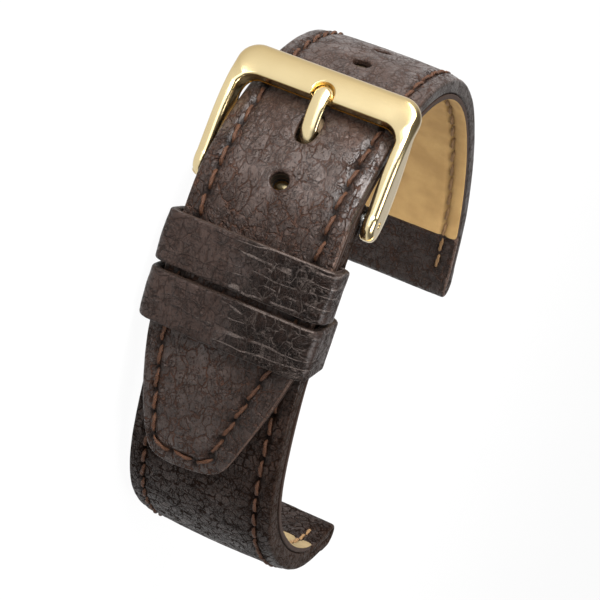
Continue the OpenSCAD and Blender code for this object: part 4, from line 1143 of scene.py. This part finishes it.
def keeper(name, at, inner, body, node, lining_node, seed):
    """A keeper's leather band and the thin lining inside it."""
    outside = KEEPER_LINING + KEEPER_THICK
    settle(keeper_band(name + "_leather", at, inner, KEEPER_LINING, outside, KEEPER_LEATHER, 0.26, seed, 0.1),
           body, "keeper_leather", node)
    settle(keeper_band(name + "_lining_leather", at, inner, 0.1, KEEPER_LINING - 0.02, KEEPER_LINING_LEATHER,
                       0.08, seed + 3), body, "tan_lining", lining_node)


keeper("fixed_keeper", FIXED_AT, SHORT_FACE + SKIN + 0.15, "strap", "fixed_keeper", "fixed_keeper_lining", 2.0)
keeper("free_keeper", FREE_AT, SHORT_FACE + BAR_THICK + KEEPER_ROOM, "free_loop", "free_keeper", "free_keeper_lining",
       12.0)


# ---------------------------------------------------------------- the buckle
ARM_IN, ARM_OUT = 9.45, 10.95
FRONT_OUT, FRONT_IN = -13.4, -9.4
FRONT_TOP, FRONT_LOW = -0.7, 1.2
OUTER_CORNER, WINDOW_CORNER = 2.5, 2.0
# Where the arms run into the corners, and where the corners run into the front bar
CORNER_X, CORNER_Z = -7.4, 7.45
ARM_END = 2.1
PIN_HOLE = 0.44
NOTCH_DEEP = 0.75
NOTCH_HALF = 1.18
NOTCH_END = -10.05
# Edge rounds of the arms, inner and outer, what each gains at the front bar, and those of the underside
INNER_ROUND, INNER_GAIN, OUTER_ROUND, OUTER_GAIN = 0.66, -0.3, 0.74, 0.36
LOW_INNER, LOW_OUTER = 0.4, 0.5


def arm_top(x):
    """Depth of the frame's face."""
    k = np.clip(1 - x / FRONT_IN, 0, 1)
    drop = (1 - np.cos(np.radians(105) * k)) / (1 - math.cos(math.radians(105)))
    return FRONT_TOP + (BAR_DEPTH - ARM_END - FRONT_TOP) * np.clip(drop, 0, 1)


def arm_low(x):
    """Depth of the frame's underside."""
    k = np.clip(1 - x / FRONT_IN, 0, 1)
    return FRONT_LOW + (BAR_DEPTH + ARM_END - FRONT_LOW) * np.sin(np.pi / 2 * k)


def notch(x, z):
    """How far the front bar's face is cut down where the tongue rests: a trough with a round end."""
    from_middle = np.hypot(np.minimum(x - NOTCH_END, 0), z)
    return NOTCH_DEEP * ease((NOTCH_HALF + 0.2 - from_middle) / 0.4) * (x < -8)


def frame_section(width, inner, outer, outer_low, inner_low):
    """A soft-edged section: distance across from the opening, drop from the face or rise from the underside, and side.

    The sides are 0 the face, 1 the underside, 2 the outer wall and 3 the inner wall. On a wall the second number
    is the share of the way down."""
    found = []
    for a in np.radians(np.linspace(0, 90, 8)):
        found.append((inner - inner * math.cos(a), inner - inner * math.sin(a), 0))
    for t in np.linspace(0, 1, 44)[1:-1]:
        found.append((inner + (width - inner - outer) * t, 0.0, 0))
    for a in np.radians(np.linspace(0, 90, 10)):
        found.append((width - outer + outer * math.sin(a), outer - outer * math.cos(a), 0))
    for t in (0.2, 0.4, 0.6, 0.8):
        found.append((width, t, 2))
    for a in np.radians(np.linspace(0, 90, 8)):
        found.append((width - outer_low + outer_low * math.cos(a), outer_low - outer_low * math.sin(a), 1))
    for t in np.linspace(0, 1, 14)[1:-1]:
        found.append((width - outer_low - (width - inner_low - outer_low) * t, 0.0, 1))
    for a in np.radians(np.linspace(90, 0, 7)):
        found.append((inner_low - inner_low * math.sin(a), inner_low - inner_low * math.cos(a), 1))
    for t in (0.8, 0.6, 0.4, 0.2):
        found.append((0.0, t, 3))
    return np.array(found)


def frame_stations():
    """Pairs of points on the frame's inner and outer outlines, from the right arm's end to the left arm's."""
    half = []
    for a in np.radians(np.linspace(90, 5, 16)):
        half.append(((ARM_END * math.sin(a), ARM_IN), (ARM_END * math.sin(a), ARM_OUT)))
    for x in np.linspace(0, CORNER_X, 40)[:-1]:
        half.append(((x, ARM_IN), (x, ARM_OUT)))
    r, w = OUTER_CORNER, WINDOW_CORNER
    outline = [(x, ARM_OUT) for x in np.linspace(CORNER_X, FRONT_OUT + r, 26)]
    outline += [(FRONT_OUT + r - r * math.sin(a), ARM_OUT - r + r * math.cos(a))
                for a in np.radians(np.linspace(0, 90, 24))[1:]]
    outline += [(FRONT_OUT, z) for z in np.linspace(ARM_OUT - r, CORNER_Z, 12)[1:]]
    outline = np.array(outline)
    walked = walked_along(outline)
    for t in np.linspace(0, 1, 34):
        b = t * math.pi / 2
        point = (CORNER_X - w * math.sin(b), ARM_IN - w + w * math.cos(b))
        half.append((point, tuple(np.interp(t * walked[-1], walked, outline[:, k]) for k in (0, 1))))
    # Closer together across the notch
    down = list(np.linspace(CORNER_Z, 1.75, 17)[1:]) + list(np.linspace(1.7, 0.0, 32))
    half += [((FRONT_IN, z), (FRONT_OUT, z)) for z in down]
    mirrored = [((a[0], -a[1]), (b[0], -b[1])) for a, b in half[-2::-1]]
    return half + mirrored


def arm_end_section(x, side, way, station_x):
    """x and y of a section in an arm's round end."""
    radius = ARM_END - np.where(side < 2, way, 0)
    tall = np.sqrt(np.clip(radius ** 2 - x ** 2, 0, None))
    wall = ARM_END - OUTER_ROUND
    side_tall = math.sqrt(max(wall ** 2 - station_x ** 2, 0))
    y = BAR_DEPTH + np.where(side == 0, -tall, np.where(side == 1, tall, side_tall * (2 * way - 1)))
    return np.where(side > 1, np.minimum(np.minimum(x, radius), wall), np.minimum(x, radius)), y


def arm_section_depth(x, z, side, way, over, front, points):
    """y of a section in an arm or the front bar; points are its outer and its inner one."""
    crown = 0.2 * front * (1 - (2 * over - 1) ** 2)
    y = np.where(side == 0, arm_top(x) + notch(x, z) - crown + way, arm_low(x) - way)
    rounds = ((OUTER_ROUND + OUTER_GAIN * front, LOW_OUTER), (INNER_ROUND + INNER_GAIN * front, LOW_INNER))
    for wall, point, (top_round, low_round) in zip((2, 3), points, rounds):
        upper = float(arm_top(point[0]) + notch(point[0], point[1])) + top_round
        lower = float(arm_low(point[0])) - low_round
        y = np.where(side == wall, upper + (lower - upper) * way, y)
    return y


def buckle_frame():
    """The cast frame, built from sections between its inner and outer outlines."""
    places, painted_reflection_shade = [], []
    stations = frame_stations()
    for inner_point, outer_point in stations:
        inner_point, outer_point = np.array(inner_point), np.array(outer_point)
        width = float(np.linalg.norm(outer_point - inner_point))
        across = (outer_point - inner_point) / width
        front = float(ease((width - 1.5) / 1.6))
        off, way, side = frame_section(width, INNER_ROUND + INNER_GAIN * front, OUTER_ROUND + OUTER_GAIN * front,
                                       LOW_OUTER, LOW_INNER).T
        x, z, over = inner_point[0] + across[0] * off, inner_point[1] + across[1] * off, off / width
        if inner_point[0] > 0:
            x, y = arm_end_section(x, side, way, float(inner_point[0]))
        else:
            y = arm_section_depth(x, z, side, way, over, front, (outer_point, inner_point))
        places.append(metres(x, y, z))
        # Painted shade standing in for darker reflections: toward the front bar's outer edge, toward both flanks of the
        # arms, on the underside and walls, and in a thin line along the inner edge
        painted_shade_gradient = front * ease((over - 0.1) / 1.0) + (1 - front) * 0.5 * np.abs(2 * over - 1) ** 3
        painted_reflection_shade.append(np.where(side > 0, 0.6, np.where(off < 0.12, 0.8, painted_shade_gradient)))
    faces = tube_faces(len(stations), len(off))
    piece = make_piece("gold_buckle_frame", np.vstack(places), faces, GOLD, {"painted_reflection_shade": np.concatenate(painted_reflection_shade)})
    weld(piece, 0.004)
    return piece


def pin_hole_cutter():
    """A plain round cutter along the spring bar."""
    sides, half = 40, 12.0
    a = 2 * math.pi * np.arange(sides) / sides
    x, y = PIN_HOLE * np.cos(a), BAR_DEPTH + PIN_HOLE * np.sin(a)
    places = np.vstack((metres(x, y, 0 * a - half), metres(x, y, 0 * a + half)))
    faces = tube_faces(2, sides) + [tuple(range(sides))[::-1], tuple(range(sides, 2 * sides))]
    return make_piece("pin hole cutter", places, faces, GOLD, {})


def carve(piece, tool, operation):
    """Cuts or joins a second shape into a piece for good, and removes the tool."""
    change = piece.modifiers.new("carve", "BOOLEAN")
    change.operation, change.object, change.solver = operation, tool, "EXACT"
    bpy.context.view_layer.update()
    made = bpy.data.meshes.new_from_object(piece.evaluated_get(bpy.context.evaluated_depsgraph_get()))
    piece.modifiers.remove(change)
    old, piece.data = piece.data, made
    made.name = piece.name
    bpy.data.meshes.remove(old)
    bpy.data.objects.remove(tool)
    made.polygons.foreach_set("use_smooth", [True] * len(made.polygons))
    made.set_sharp_from_angle(angle=math.radians(38))


gold_frame = buckle_frame()
carve(gold_frame, pin_hole_cutter(), "DIFFERENCE")
settle(gold_frame, "frame", "gold_plate", "buckle_frame")

TONGUE_LINE = smooth_line([
    (0.6, 3.26), (0.0, 3.23), (-1.2, 3.23), (-2.4, 3.1), (-3.7, 2.55), (-5.1, 1.6), (-6.3, 0.65), (-7.3, 0.0),
    (-8.3, -0.42), (-9.3, -0.6), (-10.0, -0.58), (-10.75, -0.5)], 0.15)
# The loop's inner and outer radius, half its width and its edge round
LOOP_IN, LOOP_OUT, LOOP_HALF, LOOP_EDGE = 0.79, 1.55, 1.5, 0.22


def buckle_tongue():
    """A bar that comes up through the strap and rests in the notch, on a loop round the spring bar."""
    heading = np.gradient(TONGUE_LINE, axis=0)
    heading /= np.linalg.norm(heading, axis=1)[:, None]
    walked = walked_along(TONGUE_LINE)
    sides = 40
    a = 2 * math.pi * np.arange(sides) / sides
    c, s = (np.sign(v) * np.abs(v) ** (2 / 2.1) for v in (np.cos(a), np.sin(a)))
    places = []
    for point, way, gone in zip(TONGUE_LINE, heading, walked):
        grow = 1.0
        for left, rounded in ((walked[-1] - gone, 0.9), (gone, 0.5)):
            grow *= math.sqrt(max(0.0, 1 - max(0.0, 1 - left / rounded) ** 2))
        z = (1.0 - 0.06 * float(ease((gone - 4) / 4))) * grow * c
        up = 0.5 * math.sqrt(grow) * s
        places.append(metres(point[0] + way[1] * up, point[1] - way[0] * up, z))
    bar = make_piece("gold_buckle_tongue", np.vstack(places), tube_faces(len(places), sides), GOLD, {})
    section = []
    far, near, high, e = LOOP_OUT - LOOP_EDGE, LOOP_IN + LOOP_EDGE, LOOP_HALF - LOOP_EDGE, LOOP_EDGE
    for q, (cr, cz) in enumerate(((far, high), (near, high), (near, -high), (far, -high))):
        for b in np.radians(np.linspace(0, 90, 6)) + q * math.pi / 2:
            section.append((cr + e * math.cos(b), cz + e * math.sin(b)))
    r, z = np.array(section).T
    turns = 64
    places = [metres(r * math.cos(b), BAR_DEPTH + r * math.sin(b), z) for b in 2 * math.pi * np.arange(turns) / turns]
    loop = make_piece("tongue loop", np.vstack(places), tube_faces(turns, len(section), closed=True), GOLD, {})
    for piece in (bar, loop):
        weld(piece, 0.002)
    carve(bar, loop, "UNION")
    return bar


settle(buckle_tongue(), "tongue", "gold_plate", "buckle_tongue")

for node in ("bar_tube", "bar_spring", "bar_pin_left", "bar_pin_right"):
    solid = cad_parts[node]
    solid.data.materials.clear()
    solid.data.materials.append(STEEL)


# ---------------------------------------------------------------- floor, light and camera
# Half the floor's side, and how far off the lights and the camera are, in metres; the lens is in millimetres
FLOOR, LIGHT_AWAY, CAMERA_AWAY = 2.5, 0.5, 0.187
CAMERA_LENS, CAMERA_SENSOR = 102.0, 36.0


def white_floor():
    """A pale floor that keeps the shadow, and reads white to the camera and in reflections."""
    material, tree, shader = new_material("pale floor", Roughness=0.9, Specular_IOR_Level=0.1)
    mottled = cloud(put(tree, "ShaderNodeTexCoord", take="Object"), 3.0, 2.0)
    link(tree, shader.inputs, Base_Color=mix(mottled, colour(250, 250, 250), colour(246, 246, 246)))
    white = put(tree, "ShaderNodeEmission", {"Color": (1, 1, 1, 1), "Strength": 1.0})
    rays = add(tree, "ShaderNodeLightPath")
    seen = most(rays("Is Camera Ray"), rays("Is Glossy Ray"), rays("Is Transmission Ray"))
    both = put(tree, "ShaderNodeMixShader", {0: times(seen, 0.95), 1: Wire(tree, shader.outputs[0]), 2: white})
    link(tree, tree.nodes["Material Output"].inputs, Surface=both)
    mesh = bpy.data.meshes.new("floor")
    mesh.from_pydata([(x * FLOOR, y * FLOOR, 0) for x, y in ((-1, -1), (1, -1), (1, 1), (-1, 1))], [], [(0, 1, 2, 3)])
    mesh.materials.append(material)
    floor = bpy.data.objects.new("floor", mesh)
    bpy.context.scene.collection.objects.link(floor)


def pale_world(strength, overhead):
    """White all round for the camera; in reflections it greys towards a plain ceiling overhead."""
    world = bpy.data.worlds.new("studio")
    bpy.context.scene.world = world
    world.use_nodes = True
    tree = world.node_tree
    rays = add(tree, "ShaderNodeLightPath")
    up = put(tree, "ShaderNodeSeparateXYZ", {"Vector": put(tree, "ShaderNodeTexCoord", take="Generated")}, "Z")
    mirrored = most(rays("Is Glossy Ray"), rays("Is Transmission Ray"))
    bright = spread(mirrored, 0.0, 1.0, strength, spread(up, 0.02, 0.6, 1.0, overhead), soft=False)
    bright = spread(rays("Is Camera Ray"), 0.0, 1.0, bright, 1.0, soft=False)
    link(tree, tree.nodes["Background"].inputs, Strength=bright, Color=(1, 1, 1, 1))


def softbox(name, toward, width, height, power):
    """A flat soft light, LIGHT_AWAY metres off in a direction from the strap, facing it."""
    lamp = bpy.data.lights.new(name, "AREA")
    lamp.shape, lamp.size, lamp.size_y, lamp.energy = "RECTANGLE", width, height, power
    made = bpy.data.objects.new(name, lamp)
    way = Vector(toward).normalized()
    made.location = Vector((0.0, 0.0, 0.011)) + way * LIGHT_AWAY
    made.rotation_euler = (-way).to_track_quat("-Z", "Y").to_euler()
    bpy.context.scene.collection.objects.link(made)


def place_camera():
    """The photograph's view: from below the tip, a little above the floor, with the camera rolled on its side."""
    azimuth, elevation, roll = (math.radians(v) for v in (18.3, 14.6, 112.3))
    level_part = math.cos(elevation)
    ahead = Vector((-math.sin(azimuth) * level_part, math.cos(azimuth) * level_part, -math.sin(elevation)))
    side = ahead.cross(Vector((0, 0, 1)) - ahead * ahead.z).normalized()
    up = side.cross(ahead)
    right = math.cos(roll) * side + math.sin(roll) * up
    top = -math.sin(roll) * side + math.cos(roll) * up
    target = Vector(((9.0 + SHIFT[0]) * MM, (10.7 + SHIFT[1]) * MM, (5.1 + SHIFT[2]) * MM))
    lens = bpy.data.cameras.new("camera")
    lens.lens, lens.sensor_width, lens.clip_start = CAMERA_LENS, CAMERA_SENSOR, 0.01
    camera = bpy.data.objects.new("camera", lens)
    turn = Matrix((right, top, -ahead)).transposed()
    camera.matrix_world = Matrix.Translation(target - ahead * CAMERA_AWAY) @ turn.to_4x4()
    bpy.context.scene.collection.objects.link(camera)
    bpy.context.scene.camera = camera


white_floor()
pale_world(0.22, 0.15)
softbox("key", (-0.5, -0.82, 0.34), 0.5, 0.4, 9.2)
softbox("camera side", (0.36, -0.92, 0.22), 0.4, 0.3, 0.7)
softbox("top light", (0.15, 0.04, 1.0), 0.3, 0.3, 1.8)
softbox("bend light", (0.42, -0.04, 0.9), 0.16, 0.16, 0.6)
place_camera()
bpy.context.scene.view_settings.view_transform = "Standard"
